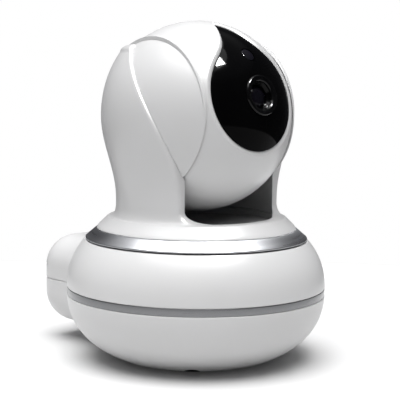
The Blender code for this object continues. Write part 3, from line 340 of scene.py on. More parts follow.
MATERIALS = {
    "white_shell": white_plastic("white_shell_plastic", 0.61),
    "silver_trim": silver_paint("silver_trim_coating", 0.62),
    "rubber": surface("foot_rubber", (0.045, 0.045, 0.048), (0.07, 0.07, 0.073), 300,
                      (0.75, 0.9), 3000, 0.5, 0.00008),
    "black_gloss": surface("black_gloss_panel", (0.0012, 0.0012, 0.0014),
                           (0.0020, 0.0020, 0.0022), 40, (0.045, 0.075), 2000, 0.01, 0.00001,
                           Specular_IOR_Level=0.03),
    "grey_plastic": surface("grey_port_plastic", (0.13, 0.13, 0.14), (0.17, 0.17, 0.18), 200,
                            (0.42, 0.55), 4200, 0.35, 0.00005),
    "black_plastic": surface("black_moulded_plastic", (0.010, 0.010, 0.011),
                             (0.018, 0.018, 0.019), 260, (0.38, 0.5), 4200, 0.3, 0.00004),
    "circuit_board": circuit_board("green_circuit_board"),
    "steel": surface("plated_steel", (0.46, 0.46, 0.47), (0.58, 0.58, 0.59), 220,
                     (0.25, 0.38), 2400, 0.15, 0.00002, stretch=(1.0, 1.0, 0.15),
                     Metallic=1.0),
    "nylon": surface("natural_nylon", (0.68, 0.66, 0.58), (0.76, 0.74, 0.67), 260,
                     (0.4, 0.52), 3000, 0.15, 0.00003),
    "lens_glass": surface("coated_lens_glass", (0.004, 0.004, 0.006), (0.007, 0.006, 0.010),
                          180, (0.02, 0.04), 1500, 0.01, 0.00001, Specular_IOR_Level=0.08),
}

# Special materials for single pieces: the line round the base, and the lens ring and tube. The line round the base
# gets a darker copy of the silver coating: painted shade for the dark surroundings that the band reflects.
SILVER_PAINTED_SHADE = silver_paint("silver_coating_painted_shade", 0.22)
LENS_BLACK = surface("lens_tube_black", (0.0015, 0.0015, 0.0018), (0.0030, 0.0030, 0.0033), 300,
                     (0.10, 0.14), 3000, 0.05, 0.00001, Specular_IOR_Level=0.15)


# ---------------------------------------------------------------- mesh helpers

def smooth(mesh, sharp):
    """Shade a mesh smooth, except over edges that turn by more than sharp degrees."""
    mesh.shade_smooth()
    mesh.set_sharp_from_angle(angle=math.radians(sharp))


def finish_mesh(shape, name, slot_name, sharp=40.0):
    """Clean a bmesh and make it an object with the material of a slot."""
    bmesh.ops.remove_doubles(shape, verts=shape.verts, dist=0.000002)
    bmesh.ops.dissolve_degenerate(shape, edges=shape.edges, dist=0.000001)
    bmesh.ops.recalc_face_normals(shape, faces=shape.faces)
    mesh = bpy.data.meshes.new(name)
    shape.to_mesh(mesh)
    shape.free()
    smooth(mesh, sharp)
    mesh.materials.append(MATERIALS[slot_name])
    made = bpy.data.objects.new(name, mesh)
    bpy.context.scene.collection.objects.link(made)
    return made


def add_loft(shape, rows, closed_rows=True, closed_columns=True):
    """Add quads over rows of points to a bmesh; closed_rows joins the last row to the
    first."""
    count = len(rows)
    width = len(rows[0])
    corners = [[shape.verts.new(point) for point in row] for row in rows]
    for i in range(count if closed_rows else count - 1):
        for j in range(width if closed_columns else width - 1):
            upper = corners[i]
            lower = corners[(i + 1) % count]
            nearer = (j + 1) % width
            shape.faces.new((upper[j], upper[nearer], lower[nearer], lower[j]))


def rounded(outline, radius, steps=4, closed=True):
    """Round the corners of an outline of (across, up) points."""
    points = [Vector(point) for point in outline]
    last = len(points)
    made = []
    for i, corner in enumerate(points):
        if not closed and i in (0, last - 1):
            made.append(tuple(corner))
            continue
        before = points[i - 1] - corner
        after = points[(i + 1) % last] - corner
        start = corner + before.normalized() * min(radius, before.length * 0.45)
        end = corner + after.normalized() * min(radius, after.length * 0.45)
        for k in range(steps + 1):
            t = k / steps
            made.append(tuple((1 - t) ** 2 * start + 2 * t * (1 - t) * corner + t * t * end))
    return made


def turned_rows(profile, count=ROUND):
    """Rows for a profile of (radius, height) points turned round Z."""
    turns = [2 * math.pi * i / count for i in range(count)]
    return [[(radius * math.cos(a), radius * math.sin(a), height) for a in turns]
            for radius, height in profile]


def turned(name, profile, slot_name, count=ROUND, closed=True):
    """A piece made by turning a profile of (radius, height) points round Z."""
    shape = bmesh.new()
    add_loft(shape, turned_rows(profile, count), closed_rows=closed)
    return finish_mesh(shape, name, slot_name)


def box_mesh(name, low, high):
    """A plain box between two corners."""
    shape = bmesh.new()
    made = bmesh.ops.create_cube(shape, size=1.0)
    bmesh.ops.scale(shape, verts=made["verts"], vec=Vector(high) - Vector(low))
    bmesh.ops.translate(shape, verts=made["verts"], vec=(Vector(high) + Vector(low)) / 2)
    return finish_mesh(shape, name, "white_shell")


def place(piece, body, nodes):
    """Make a piece ride on a body in place of its CAD nodes."""
    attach(piece, body)
    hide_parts(*nodes)
    return piece


def to_head(piece):
    """Move a piece built round the lens axis (along -Y at the origin) onto the head."""
    tilt = Matrix.Rotation(-LENS_ELEVATION, 4, "X")
    piece.data.transform(Matrix.Translation(Vector(BALL_CENTRE)) @ tilt)
    return piece


def cut(piece, tool):
    """Cut a tool out of a piece and remove the tool."""
    change = piece.modifiers.new("cut", "BOOLEAN")
    change.operation = "DIFFERENCE"
    change.object = tool
    change.solver = "EXACT"
    settled = piece.evaluated_get(bpy.context.evaluated_depsgraph_get())
    mesh = bpy.data.meshes.new_from_object(settled)
    mesh.name = piece.name
    piece.modifiers.clear()
    piece.data = mesh
    bpy.data.objects.remove(tool, do_unlink=True)
    return piece


def smooth_max(a, b, blend):
    """The larger of two lengths, with a smooth turn where they are close."""
    near = np.maximum(blend - np.abs(a - b), 0.0) / blend
    return np.maximum(a, b) + near * near * blend / 4


def smooth_min(a, b, blend):
    """The smaller of two lengths, with a smooth turn where they are close."""
    return -smooth_max(-a, -b, blend)


def between(low, high, count):
    """Evenly spaced values from low to high."""
    return [low + (high - low) * i / (count - 1) for i in range(count)]


# ---------------------------------------------------------------- base shells

def base_reach(rays, inset):
    """Distance from the base's centre to its round wall, along unit rays."""
    up = rays[..., 2]
    across = np.hypot(rays[..., 0], rays[..., 1])
    made = np.zeros(up.shape)
    for part, semi, power in ((up >= 0, DOME_SEMI_HEIGHT, DOME_POWER),
                              (up < 0, BOWL_SEMI_HEIGHT, BOWL_POWER)):
        flat = (across / (BASE_RADIUS - inset)) ** power
        tall = (np.abs(up) / (semi - inset)) ** power
        made = np.where(part, (flat + tall) ** (-1.0 / power), made)
    return made


def housing_reach(rays, inset):
    """Distance from the base's centre to the port housing's rounded block."""
    core = HOUSING_HALF - HOUSING_ROUNDING
    radius = HOUSING_ROUNDING - inset
    low = np.zeros(rays.shape[:-1])
    high = np.full(rays.shape[:-1], 2 * HOUSING_REACH)
    for _ in range(32):
        middle = (low + high) / 2
        away = np.abs(rays * middle[..., None] - HOUSING_MIDDLE) - core
        inside = np.linalg.norm(np.maximum(away, 0.0), axis=-1) < radius
        low = np.where(inside, middle, low)
        high = np.where(inside, high, middle)
    return low


def base_points(turns, pitches, inset):
    """Points on the base's outside, seen from its centre at a turn and a pitch."""
    level = np.cos(pitches)
    rays = np.stack((level * np.cos(turns), level * np.sin(turns), np.sin(pitches)), -1)
    reach = smooth_max(base_reach(rays, inset), housing_reach(rays, inset), HOUSING_BLEND)
    return rays * reach[..., None] + np.array((0.0, 0.0, SEAM_Z))


def pitch_at_height(turns, height, inset):
    """Pitch at which the base's outside crosses a height."""
    low = np.full(turns.shape, -1.4)
    high = np.full(turns.shape, 1.4)
    for _ in range(32):
        middle = (low + high) / 2
        below = base_points(turns, middle, inset)[..., 2] < height
        low = np.where(below, middle, low)
        high = np.where(below, high, middle)
    return low


def at_height(turns, height, inset):
    """Points on the base's outside at a height."""
    return base_points(turns, pitch_at_height(turns, height, inset), inset)


def base_turns():
    """Turns round the base, with a close pair where the trim ring ends."""
    clear, close = 0.012, 0.0006
    step = math.asin(RIM_HALF_X / BASE_RADIUS)
    ends = [math.pi / 2 - step, math.pi / 2 + step]
    turns = [2 * math.pi * i / ROUND for i in range(ROUND)]
    turns = [t for t in turns if min(abs(t - end) for end in ends) > clear]
    turns += [end + side * close for end in ends for side in (-1, 1)]
    return np.array(sorted(turns))


def shell_wall(turns, rim, end, rows, inset):
    """Rows of the base's wall from a rim height to an end height."""
    start_pitch = pitch_at_height(turns, rim, inset)
    end_pitch = pitch_at_height(turns, end, inset)
    return [base_points(turns, start_pitch + (end_pitch - start_pitch) * t, inset)
            for t in between(0.0, 1.0, rows)]


def rim_rounding(turns, rim, up):
    """Rows that round the outer edge of a rim, from the edge face to the wall."""
    rows = []
    steps = 4
    for k in range(steps):
        turn = math.pi / 2 * k / steps
        rows.append(at_height(turns, rim + up * EDGE * (1 - math.cos(turn)),
                              EDGE * (1 - math.sin(turn))))
    return rows


def flat_rows(turns, radii, height):
    """Level rows at some radii."""
    return [np.stack((radius * np.cos(turns), radius * np.sin(turns),
                      np.full(turns.shape, height)), -1) for radius in radii]


def make_upper_shell():
    """The upper half of the base and its port housing, with an open deck."""
    turns = base_turns()
    at_back = (np.sin(turns) > 0) & (np.abs(BASE_RADIUS * np.cos(turns)) < RIM_HALF_X)
    rim = np.where(at_back, TRIM_LOW.z, UPPER_RIM_Z)
    rows = rim_rounding(turns, rim, 1)
    rows += shell_wall(turns, rim + EDGE, DECK_Z - RING_SINK, 64, 0.0)
    rows += flat_rows(turns, (DECK_RING_RADIUS, HUB_HOLE_RADIUS), DECK_Z - RING_SINK)
    rows += flat_rows(turns, (HUB_HOLE_RADIUS, DECK_RING_RADIUS), DECK_Z - WALL)
    rows += reversed(shell_wall(turns, rim, DECK_Z - WALL, 20, WALL))
    shape = bmesh.new()
    add_loft(shape, rows)
    shell = finish_mesh(shape, "upper_base_shell", "white_shell")
    place(shell, "base", ["base_upper_shell"])


def make_lower_shell():
    """The lower half of the base, with its port opening, speaker slots and screw wells."""
    turns = base_turns()
    bottom_radius = BASE_RADIUS * (1 - ((SEAM_Z - UNDERSIDE_Z) / BOWL_SEMI_HEIGHT)
                                   ** BOWL_POWER) ** (1 / BOWL_POWER)
    recess = FOOT_RADIUS + GAP
    floor_z = UNDERSIDE_Z + BOWL_FLOOR
    rows = rim_rounding(turns, LOWER_RIM_Z, -1)
    rows += shell_wall(turns, LOWER_RIM_Z - EDGE, UNDERSIDE_Z + 0.0001, 64, 0.0)
    rows += flat_rows(turns, (bottom_radius - 0.0005, recess), UNDERSIDE_Z)
    rows += flat_rows(turns, (recess, 0.0), FOOT_TOP_Z + GAP)
    rows += flat_rows(turns, (0.0,), floor_z)
    rows += reversed(shell_wall(turns, LOWER_RIM_Z, floor_z, 20, WALL))
    shape = bmesh.new()
    add_loft(shape, rows)
    shell = finish_mesh(shape, "lower_base_shell", "white_shell")

    half = (BEZEL_HIGH.x - BEZEL_LOW.x) / 2 + GAP
    cut(shell, box_mesh("port_cut", (-half, HOUSING_REACH - 0.012, BEZEL_LOW.z - GAP),
                        (half, HOUSING_REACH + 0.010, UPPER_RIM_Z)))
    for number in range(-2, 3):
        y = number * SLOT_SPACING
        cut(shell, box_mesh("slot_cut", (SLOT_REACH[0], y - SLOT_WIDTH / 2, SLOT_LOW_Z),
                            (SLOT_REACH[1], y + SLOT_WIDTH / 2, SLOT_HIGH_Z)))
    for quarter in range(4):
        turn = math.pi / 4 + quarter * math.pi / 2
        well = turned("well_cut", [(0, SCREW_WELL_TOP), (SCREW_WELL_RADIUS, SCREW_WELL_TOP),
                                   (SCREW_WELL_RADIUS, -0.001), (0, -0.001)], "white_shell", 32)
        well.data.transform(Matrix.Translation((SCREW_CIRCLE * math.cos(turn),
                                                SCREW_CIRCLE * math.sin(turn), 0)))
        cut(shell, well)
    smooth(shell.data, 40)
    place(shell, "base", ["base_lower_shell"])


def make_trim_ring():
    """The silver band between the base shells, open where the housing passes."""
    outer = BASE_RADIUS - SEAM_GAP
    inner = outer - STRIPE_DEPTH
    profile = rounded([(inner, STRIPE_TOP_Z), (outer, STRIPE_TOP_Z), (outer, TRIM_LOW.z),
                       (inner, TRIM_LOW.z)], 0.0002)
    end = math.asin(RIM_HALF_X / BASE_RADIUS)
    turns = between(math.pi / 2 + end, 2.5 * math.pi - end, ROUND)
    rows = [[(radius * math.cos(a), radius * math.sin(a), height) for radius, height in profile]
            for a in turns]
    shape = bmesh.new()
    add_loft(shape, rows, closed_rows=False)
    for row in (rows[0], rows[-1]):
        shape.faces.new([shape.verts.new(point) for point in row])
    ring = finish_mesh(shape, "base_trim_band", "silver_trim")
    # painted shade: the band gets the darkened copy of the silver coating
    ring.data.materials[0] = SILVER_PAINTED_SHADE
    place(ring, "base", ["base_trim_ring"])


def make_foot():
    """Rubber pad with a rounded edge and shallow ring grooves."""
    profile = [(0.0, FOOT_TOP_Z), (FOOT_RADIUS, FOOT_TOP_Z), (FOOT_RADIUS, 0.0)]
    for ring in GROOVE_RADII:
        profile += [(ring + 0.0008, 0.0), (ring + 0.0004, GROOVE_DEPTH),
                    (ring - 0.0004, GROOVE_DEPTH), (ring - 0.0008, 0.0)]
    profile += [(0.0, 0.0)]
    pad = turned("foot_ring_pad", rounded(profile, 0.0003, 3, closed=False), "rubber", 120,
                 closed=False)
    place(pad, "base", ["foot_pad"])


# ---------------------------------------------------------------- turntable

def make_table_ring():
    """The sloping silver ring round the turntable."""
    inner = DISC_HIGH.x + GAP
    top = inner + 0.0010
    outer = TABLE_RING_HIGH.x
    low = TABLE_RING_LOW.z - RING_SINK
    high = TABLE_RING_HIGH.z - RING_SINK
    profile = rounded([(inner, high), (top, high), (outer, low + 0.0005), (outer, low),
                       (inner, low)], 0.0003)
    ring = turned("turntable_ring", profile, "silver_trim", 320)
    place(ring, "yoke", ["turntable_trim_ring"])


# ---------------------------------------------------------------- yoke

def barrel_radius(rise):
    """Outer radius of the hood and arms at a height over the tilt axis."""
    if rise > HOOD_SHOULDER:
        over = (rise - HOOD_SHOULDER) / (HOOD_TOP - HOOD_SHOULDER)
        shoulder = barrel_radius(HOOD_SHOULDER)
        return HOOD_RIM_RADIUS + (shoulder - HOOD_RIM_RADIUS) * math.sqrt(1 - over * over)
    if rise > 0:
        share = 1 - (rise / HOOD_SEMI_HEIGHT) ** HOOD_POWER
        return YOKE_RADIUS * share ** (1 / HOOD_POWER)
    if rise < -FLARE_DROP:
        drop = min((-rise - FLARE_DROP) / (FLOOR_DROP - FLARE_DROP), 1.0)
        return FLARE_RADIUS - (FLARE_RADIUS - WAIST_RADIUS) * math.sqrt(1 - drop * drop)
    middle = (YOKE_RADIUS + WAIST_RADIUS) / 2
    swing = (YOKE_RADIUS - WAIST_RADIUS) / 2
    return middle + swing * math.cos(math.pi * max(rise, -WAIST_DROP) / WAIST_DROP)


def inner_radius(rise):
    """Radius of the hollow inside the yoke's wall."""
    wall = barrel_radius(rise) - YOKE_WALL
    return max(wall, CRADLE_RADIUS) if rise < 0 else wall


def arm_front(rise):
    """Y of the arms' front edge at a height over the tilt axis."""
    if rise > ARM_LEAN_FROM:
        lean = (rise - ARM_LEAN_FROM) / ARM_LEAN_HEIGHT
        return ARM_FRONT_Y + ARM_LEAN * lean ** ARM_LEAN_POWER
    share = max(1 - (rise + FLOOR_DROP) / ARM_FILLET_HEIGHT, 0.0)
    return ARM_FRONT_Y - ARM_FILLET_REACH * (1 - math.sqrt(max(1 - share * share, 0.0)))


def clearance_radius(rise):
    """Radius that the ball needs at a height over the tilt axis."""
    return math.sqrt(max((BALL_RADIUS + BALL_CLEARANCE) ** 2 - rise * rise, 0.0))


def corner_curve(before, corner, after, steps=6):
    """Points that round the corner from before to after."""
    before, corner, after = Vector(before), Vector(corner), Vector(after)
    shares = between(0.0, 1.0, steps + 1)
    return [tuple((1 - t) ** 2 * before + 2 * t * (1 - t) * corner + t * t * after)
            for t in shares]


def back_stretch(rise):
    """How far the yoke's back is drawn out: fully at the hood, not at all at the waist."""
    share = min(max(1 + rise / WAIST_DROP, 0.0), 1.0)
    return 1 + (BACK_STRETCH - 1) * share


def outline_point(radius, turn, narrowing, stretch):
    """A point of the yoke's outside: round at the front, drawn out at the back."""
    if turn <= 0:
        return radius * narrowing * math.cos(turn), radius * math.sin(turn)
    power = 2 / BACK_POWER
    return (radius * narrowing * max(math.cos(turn), 0.0) ** power,
            radius * stretch * math.sin(turn) ** power)


def outline_turn(radius, y, stretch):
    """Turn at which the yoke's outside reaches y."""
    if y <= 0:
        return math.asin(y / radius)
    return math.asin((y / radius / stretch) ** (BACK_POWER / 2))


def yoke_half_section(rise):
    """Half of the yoke's level section, as (x, y) points: the outside from the back to
    the arm's front edge, and then the inside to the back again."""
    radius = barrel_radius(rise)
    hollow = inner_radius(rise)
    clear = clearance_radius(rise)
    edge = arm_front(rise)
    up = min(max(rise / HOOD_TOP, 0.0), 1.0)
    narrowing = 1 - TOP_NARROWING * up * up
    lean = min(max((rise - ARM_LEAN_FROM) / ARM_LEAN_HEIGHT, 0.0), 1.0)
    rounding = ARM_ROUNDING + (TOP_ROUNDING - ARM_ROUNDING) * lean

    stretch = back_stretch(rise)
    outer_end = outline_turn(radius, edge, stretch)
    outer_x = outline_point(radius, outer_end, narrowing, stretch)[0]
    inner_x = math.sqrt(max(hollow ** 2 - edge * edge, 0.0))
    if hollow < clear and inner_x < EAR_INNER_X:
        inner_x = min(EAR_INNER_X, math.sqrt(max(clear ** 2 - edge * edge, 0.0)))
    inner_x = min(inner_x, outer_x - 0.0004)
    face = outer_x - inner_x
    soft = min(rounding, face * 0.6)
    hard = min(0.0005, face * 0.2)

    points = []
    for t in between(math.pi / 2, outline_turn(radius, edge + soft, stretch), YOKE_STEPS):
        points.append(outline_point(radius, t, narrowing, stretch))
    points += corner_curve(points[-1], (outer_x, edge), (outer_x - soft, edge))[1:]
    inner_end = math.atan2(edge, inner_x)
    inside = []
    for t in between(inner_end + hard / inner_x, math.pi / 2, YOKE_STEPS):
        reach = hollow
        if hollow < clear and hollow * math.cos(t) < EAR_INNER_X:
            reach = min(clear, EAR_INNER_X / max(math.cos(t), 0.001))
        reach = min(reach, radius - 0.0004)
        inside.append((reach * math.cos(t), reach * math.sin(t)))
    points += corner_curve((inner_x + hard, edge), (inner_x, edge), inside[0])[:-1]
    return points + inside


def make_yoke():
    """The hood, its two arms and the disc that they stand on, in one moulding."""
    rises = [HOOD_TOP - (HOOD_TOP - HOOD_SHOULDER) * (1 - math.cos(math.pi / 2 * k / 8))
             for k in range(8)]
    rises += between(HOOD_SHOULDER, -FLARE_DROP, 96)
    rises += [-FLARE_DROP - (FLOOR_DROP - FLARE_DROP) * math.sin(math.pi / 2 * k / 16)
              for k in range(1, 17)]
    shape = bmesh.new()
    for side in (1, -1):
        rows = [[(side * x, y, BALL_Z + rise) for x, y in yoke_half_section(rise)]
                for rise in rises]
        add_loft(shape, rows, closed_rows=False, closed_columns=False)
        for row in (rows[0], rows[-1]):
            half = len(row) // 2
            add_loft(shape, [row[:half], row[:-half - 1:-1]], closed_rows=False,
                     closed_columns=False)
    floor = BALL_Z - FLOOR_DROP
    bottom = DISC_HIGH.z + SEAM_GAP
    skirt = bottom - RING_SINK
    inner = DISC_HIGH.x + SEAM_GAP
    disc = rounded([(0.0, floor - RECESS_DEPTH), (RECESS_RADIUS, floor - RECESS_DEPTH),
                    (RECESS_RADIUS, floor), (LIP_RADIUS, floor),
                    (FLANGE_RADIUS - 0.0008, skirt + 0.0012),
                    (FLANGE_RADIUS, skirt), (inner, skirt), (inner, bottom), (0.0, bottom)],
                   0.0007, 5, closed=False)
    add_loft(shape, turned_rows(disc, 320), closed_rows=False)
    yoke = finish_mesh(shape, "yoke_hood", "white_shell", 50.0)
    place(yoke, "yoke", ["yoke_shell"])


def ear_seam(height):
    """Distance of an ear cap's edge from the middle, at a height over the tilt axis."""
    return EAR_SEAM_X - EAR_SEAM_LEAN * height


def ear_edge_angle(clock, radius):
    """Angle from the tilt axis to the ear cap's edge, in the direction clock."""
    low, high = 0.0, math.pi / 2
    for _ in range(30):
        middle = (low + high) / 2
        outside = radius * math.cos(middle) > ear_seam(radius * math.sin(middle)
                                                       * math.cos(clock))
        low, high = (middle, high) if outside else (low, middle)
    return low


def tuck_behind_arm(point):
    """Pull a point of an ear cap inside the yoke's wall where it is behind the arm."""
    x, y, height = point
    if y < arm_front(height) + 0.0003 or height < -FLOOR_DROP:
        return point
    across = math.hypot(x, y)
    limit = inner_radius(min(height, HOOD_SHOULDER)) - GAP
    scale = min(limit / across, 1.0)
    return (x * scale, y * scale, height)


def make_ear_cap(name, node, side):
    """A smooth cap over the ball's flat side, nearly flush with the ball."""
    clocks = [2 * math.pi * i / ROUND for i in range(ROUND)]
    columns = []
    for clock in clocks:
        edge = ear_edge_angle(clock, EAR_RADIUS)
        column = []
        for t in between(0.0, 1.0, 70):
            angle = edge * t
            column.append((EAR_RADIUS * math.cos(angle), EAR_RADIUS * math.sin(angle)))
        soft = [(across, out) for across, out in column[:-1]]
        seam, rim = column[-1]
        lip = min(rim, math.sqrt((BALL_RADIUS + 0.0003) ** 2 - seam * seam))
        soft += corner_curve(column[-2], (seam, rim), (seam, (rim + lip) / 2), 4)[1:]
        base = max(EAR_INNER_X, ear_seam(lip * math.cos(clock)))
        soft += [(seam, lip), (base, lip), (base, 0.0)]
        columns.append([(out * math.sin(clock), out * math.cos(clock), across)
                        for across, out in soft])
    rows = []
    for level in zip(*columns):
        row = []
        for y, height, x in level:
            over = max(x - ear_seam(height), 0.0)
            sunk = over * EAR_HOLLOWING
            px, py, pz = tuck_behind_arm((x - sunk, y, height))
            row.append((side * px, py, BALL_Z + pz))
        rows.append(row)
    shape = bmesh.new()
    add_loft(shape, rows, closed_rows=False)
    cap = finish_mesh(shape, name, "white_shell", 50.0)
    place(cap, "yoke", [node])


# ---------------------------------------------------------------- head

def panel_angle(clock):
    """Angle from the lens axis to the panel's edge, in the direction clock."""
    turn = (clock + math.pi) % (2 * math.pi) - math.pi
    point = math.exp(-((abs(turn) / PANEL_POINT_SPREAD) ** PANEL_POINT_POWER))
    return PANEL_DISC_ANGLE + PANEL_POINT_ANGLE * point


def head_clocks():
    """Clock angles round the lens axis, closer together at the panel's point."""
    shares = between(-1.0, 1.0, HEAD_STEPS + 1)[:-1]
    return [math.pi * (0.35 * t + 0.65 * t ** 3) for t in shares]


def head_point(radius, angle, clock, flat):
    """A point at a radius, its angle from the lens axis and its clock angle, with the
    head's flat sides."""
    x = radius * math.sin(angle) * math.sin(clock)
    x = math.copysign(float(smooth_min(abs(x), flat, 0.0010)), x)
    return (x, -radius * math.cos(angle), radius * math.sin(angle) * math.cos(clock))


def head_rows(spots, flat):
    """Rows of head points.  A spot gives (radius, angle) for a clock angle."""
    return [[head_point(*spot(clock), clock, flat) for clock in head_clocks()]
            for spot in spots]


def shell_spots(radius, start, end, count):
    """Spots at one radius between two angles, each a function of the clock angle."""
    return [lambda clock, t=t: (radius, start(clock) * (1 - t) + end(clock) * t)
            for t in between(0.0, 1.0, count)]


def opening_angle(clock, extra=0.0):
    """Angle to the panel opening's edge, and extra metres past it."""
    edge = math.asin(min((PANEL_RADIUS * math.sin(panel_angle(clock)) + OPENING_MARGIN)
                         / BALL_RADIUS, 1.0))
    return edge + extra / BALL_RADIUS


def split_angle(radius, y):
    """Angle from the lens axis at which a sphere crosses y."""
    return math.acos(-y / radius)


def lip_spot(share):
    """A spot on the bevel round the panel: share 0 is at the panel, 1 on the ball."""
    def spot(clock):
        sunk = LIP_DEPTH * (1 - share) ** 1.6
        return BALL_RADIUS - sunk, opening_angle(clock, LIP_WIDTH * share)
    return spot


def make_front_shell():
    """The front of the ball, with a bevel round the opening for the face panel."""
    inside = BALL_RADIUS - HEAD_WALL
    split = HEAD_SPLIT_Y - GAP / 2
    low_edge = [lambda clock: (inside, opening_angle(clock)),
                lambda clock: (PANEL_RADIUS - PANEL_THICKNESS * 0.7, opening_angle(clock))]
    bevel = [lip_spot(share) for share in between(0.0, 0.98, 9)]
    outside = shell_spots(BALL_RADIUS, lambda clock: opening_angle(clock, LIP_WIDTH),
                          lambda clock: split_angle(BALL_RADIUS, split - 0.0002), 90)
    rim = [lambda clock: (BALL_RADIUS - 0.0002, split_angle(BALL_RADIUS, split))]
    back = shell_spots(inside, lambda clock: split_angle(inside, split),
                       lambda clock: opening_angle(clock, LIP_WIDTH), 24)
    rows = head_rows(low_edge + bevel + outside + rim, BALL_FLAT_X)
    rows += head_rows(back, BALL_FLAT_X - HEAD_WALL)
    shape = bmesh.new()
    add_loft(shape, rows)
    shell = finish_mesh(shape, "head_front_ball", "white_shell", 50.0)
    start, end = PIVOT_HOLE_REACH
    for side, radius in ((1, PIVOT_PIN_HOLE), (-1, TILT_SHAFT_HOLE)):
        hole = turned("pivot_hole", [(0, end), (radius, end), (radius, start), (0, start)],
                      "white_shell", 32, closed=False)
        hole.data.transform(Matrix.Rotation(side * math.pi / 2, 4, "Y"))
        cut(shell, hole)
    smooth(shell.data, 50)
    place(to_head(shell), "head", ["head_front_shell"])


def make_rear_shell():
    """The back of the ball, inside the hood."""
    inside = BALL_RADIUS - HEAD_WALL
    split = HEAD_SPLIT_Y + GAP / 2
    rim = [lambda clock: (BALL_RADIUS - 0.0002, split_angle(BALL_RADIUS, split))]
    outside = shell_spots(BALL_RADIUS, lambda clock: split_angle(BALL_RADIUS, split + 0.0002),
                          lambda clock: math.pi, 60)
    back = shell_spots(inside, lambda clock: math.pi,
                       lambda clock: split_angle(inside, split), 20)
    rows = head_rows(rim + outside, BALL_FLAT_X)
    rows += head_rows(back, BALL_FLAT_X - HEAD_WALL)
    shape = bmesh.new()
    add_loft(shape, rows)
    shell = finish_mesh(shape, "head_rear_ball", "white_shell", 50.0)
    place(to_head(shell), "head", ["head_rear_shell"])


def make_face_panel():
    """The black drop-shaped panel, with openings for the lens and the light sensor."""
    hole = math.asin((LENS_BEZEL_RADIUS + GAP / 2) / PANEL_RADIUS)
    inside = PANEL_RADIUS - PANEL_THICKNESS
    soft = 0.0003

    def rim_angle(clock, back=0.0):
        return panel_angle(clock) - back / PANEL_RADIUS

    spots = shell_spots(PANEL_RADIUS, lambda clock: hole,
                        lambda clock: rim_angle(clock, soft), 60)
    spots += [lambda clock: (PANEL_RADIUS - soft * 0.3, rim_angle(clock, soft * 0.3)),
              lambda clock: (PANEL_RADIUS - soft, rim_angle(clock))]
    spots += shell_spots(inside, rim_angle, lambda clock: hole, 20)
    shape = bmesh.new()
    add_loft(shape, head_rows(spots, NO_FLAT))
    panel = finish_mesh(shape, "face_cover", "black_gloss", 50.0)
    reach = SENSOR_WINDOW_RADIUS + GAP
    start, end = SENSOR_HOLE_REACH
    hole = turned("sensor_hole", [(0, end), (reach, end), (reach, start), (0, start)],
                  "black_gloss", 48, closed=False)
    hole.data.transform(Matrix.Rotation(math.pi / 2 - SENSOR_WINDOW_ANGLE, 4, "X"))
    cut(panel, hole)
    smooth(panel.data, 50)
    place(to_head(panel), "head", ["face_panel"])

    top = PANEL_RADIUS - 0.0001
    low = PANEL_RADIUS - PANEL_THICKNESS
    window = turned("sensor_window", rounded([(0, top), (SENSOR_WINDOW_RADIUS, top - 0.0001),
                                              (SENSOR_WINDOW_RADIUS, low), (0, low)], 0.0003,
                                             4, closed=False),
                    "lens_glass", 64, closed=False)
    window.data.transform(Matrix.Rotation(math.pi / 2 - SENSOR_WINDOW_ANGLE, 4, "X"))
    place(to_head(window), "head", ["light_sensor_window"])


def lens_part(name, node, profile, slot_name, radius=0.0002, closed=True):
    """A part turned round the lens axis from (radius, distance forward) points."""
    part = turned(name, rounded(profile, radius, 4, closed=closed), slot_name, 160,
                  closed=closed)
    part.data.transform(Matrix.Rotation(math.pi / 2, 4, "X"))
    place(to_head(part), "head", [node])
    return part


def make_lens():
    """The raised lens ring, the stepped black tube inside it and the domed front glass."""
    bezel = LENS_BEZEL_RADIUS
    lens_part("lens_ring", "lens_bezel",
              [(0.0052, 0.0350), (0.0056, 0.0354), (0.0068, 0.0357), (0.0073, 0.0356),
               (bezel, 0.0351), (bezel, 0.0300), (0.0071, 0.0300), (0.0071, 0.0337),
               (0.0052, 0.0343)], "black_gloss").data.materials[0] = LENS_BLACK
    steps = [(0.0045, 0.0330)]
    for ring in range(5):
        radius = 0.0047 + ring * 0.0005
        steps += [(radius, 0.0330 + ring * 0.0001), (radius + 0.0002, 0.0326 + ring * 0.0001)]
    steps += [(0.0070, 0.0331), (0.0070, 0.0300), (0.0060, 0.0300), (0.0060, 0.0185),
              (0.0045, 0.0185)]
    tube = lens_part("lens_tube", "lens_barrel", steps, "black_plastic", 0.0001)
    tube.data.materials[0] = LENS_BLACK
    dome = [(0.0042 * math.sin(t), 0.0318 + 0.0020 * math.cos(t))
            for t in between(0.0, math.pi / 2, 12)]
    lens_part("lens_front", "lens_glass", dome + [(0.0042, 0.0300), (0.0, 0.0300)],
              "lens_glass", 0.0001, closed=False)


# ---------------------------------------------------------------- stage

def make_camera():
    """A camera that looks at the object from the chosen side, slightly rolled."""
    camera = bpy.data.objects.new("camera", bpy.data.cameras.new("camera"))
    bpy.context.scene.collection.objects.link(camera)
    level = math.cos(CAMERA_ELEVATION)
    back = Vector((math.sin(CAMERA_TURN) * level, -math.cos(CAMERA_TURN) * level,
                   math.sin(CAMERA_ELEVATION)))
    camera.location = CAMERA_TARGET + back * CAMERA_DISTANCE
    aim = (-back).to_track_quat("-Z", "Y").to_matrix()
    camera.rotation_euler = (aim @ Matrix.Rotation(CAMERA_ROLL, 3, "Z")).to_euler()
    camera.data.lens = CAMERA_LENS
    camera.data.sensor_width = 36.0
    camera.data.clip_start = 0.01
    bpy.context.scene.camera = camera


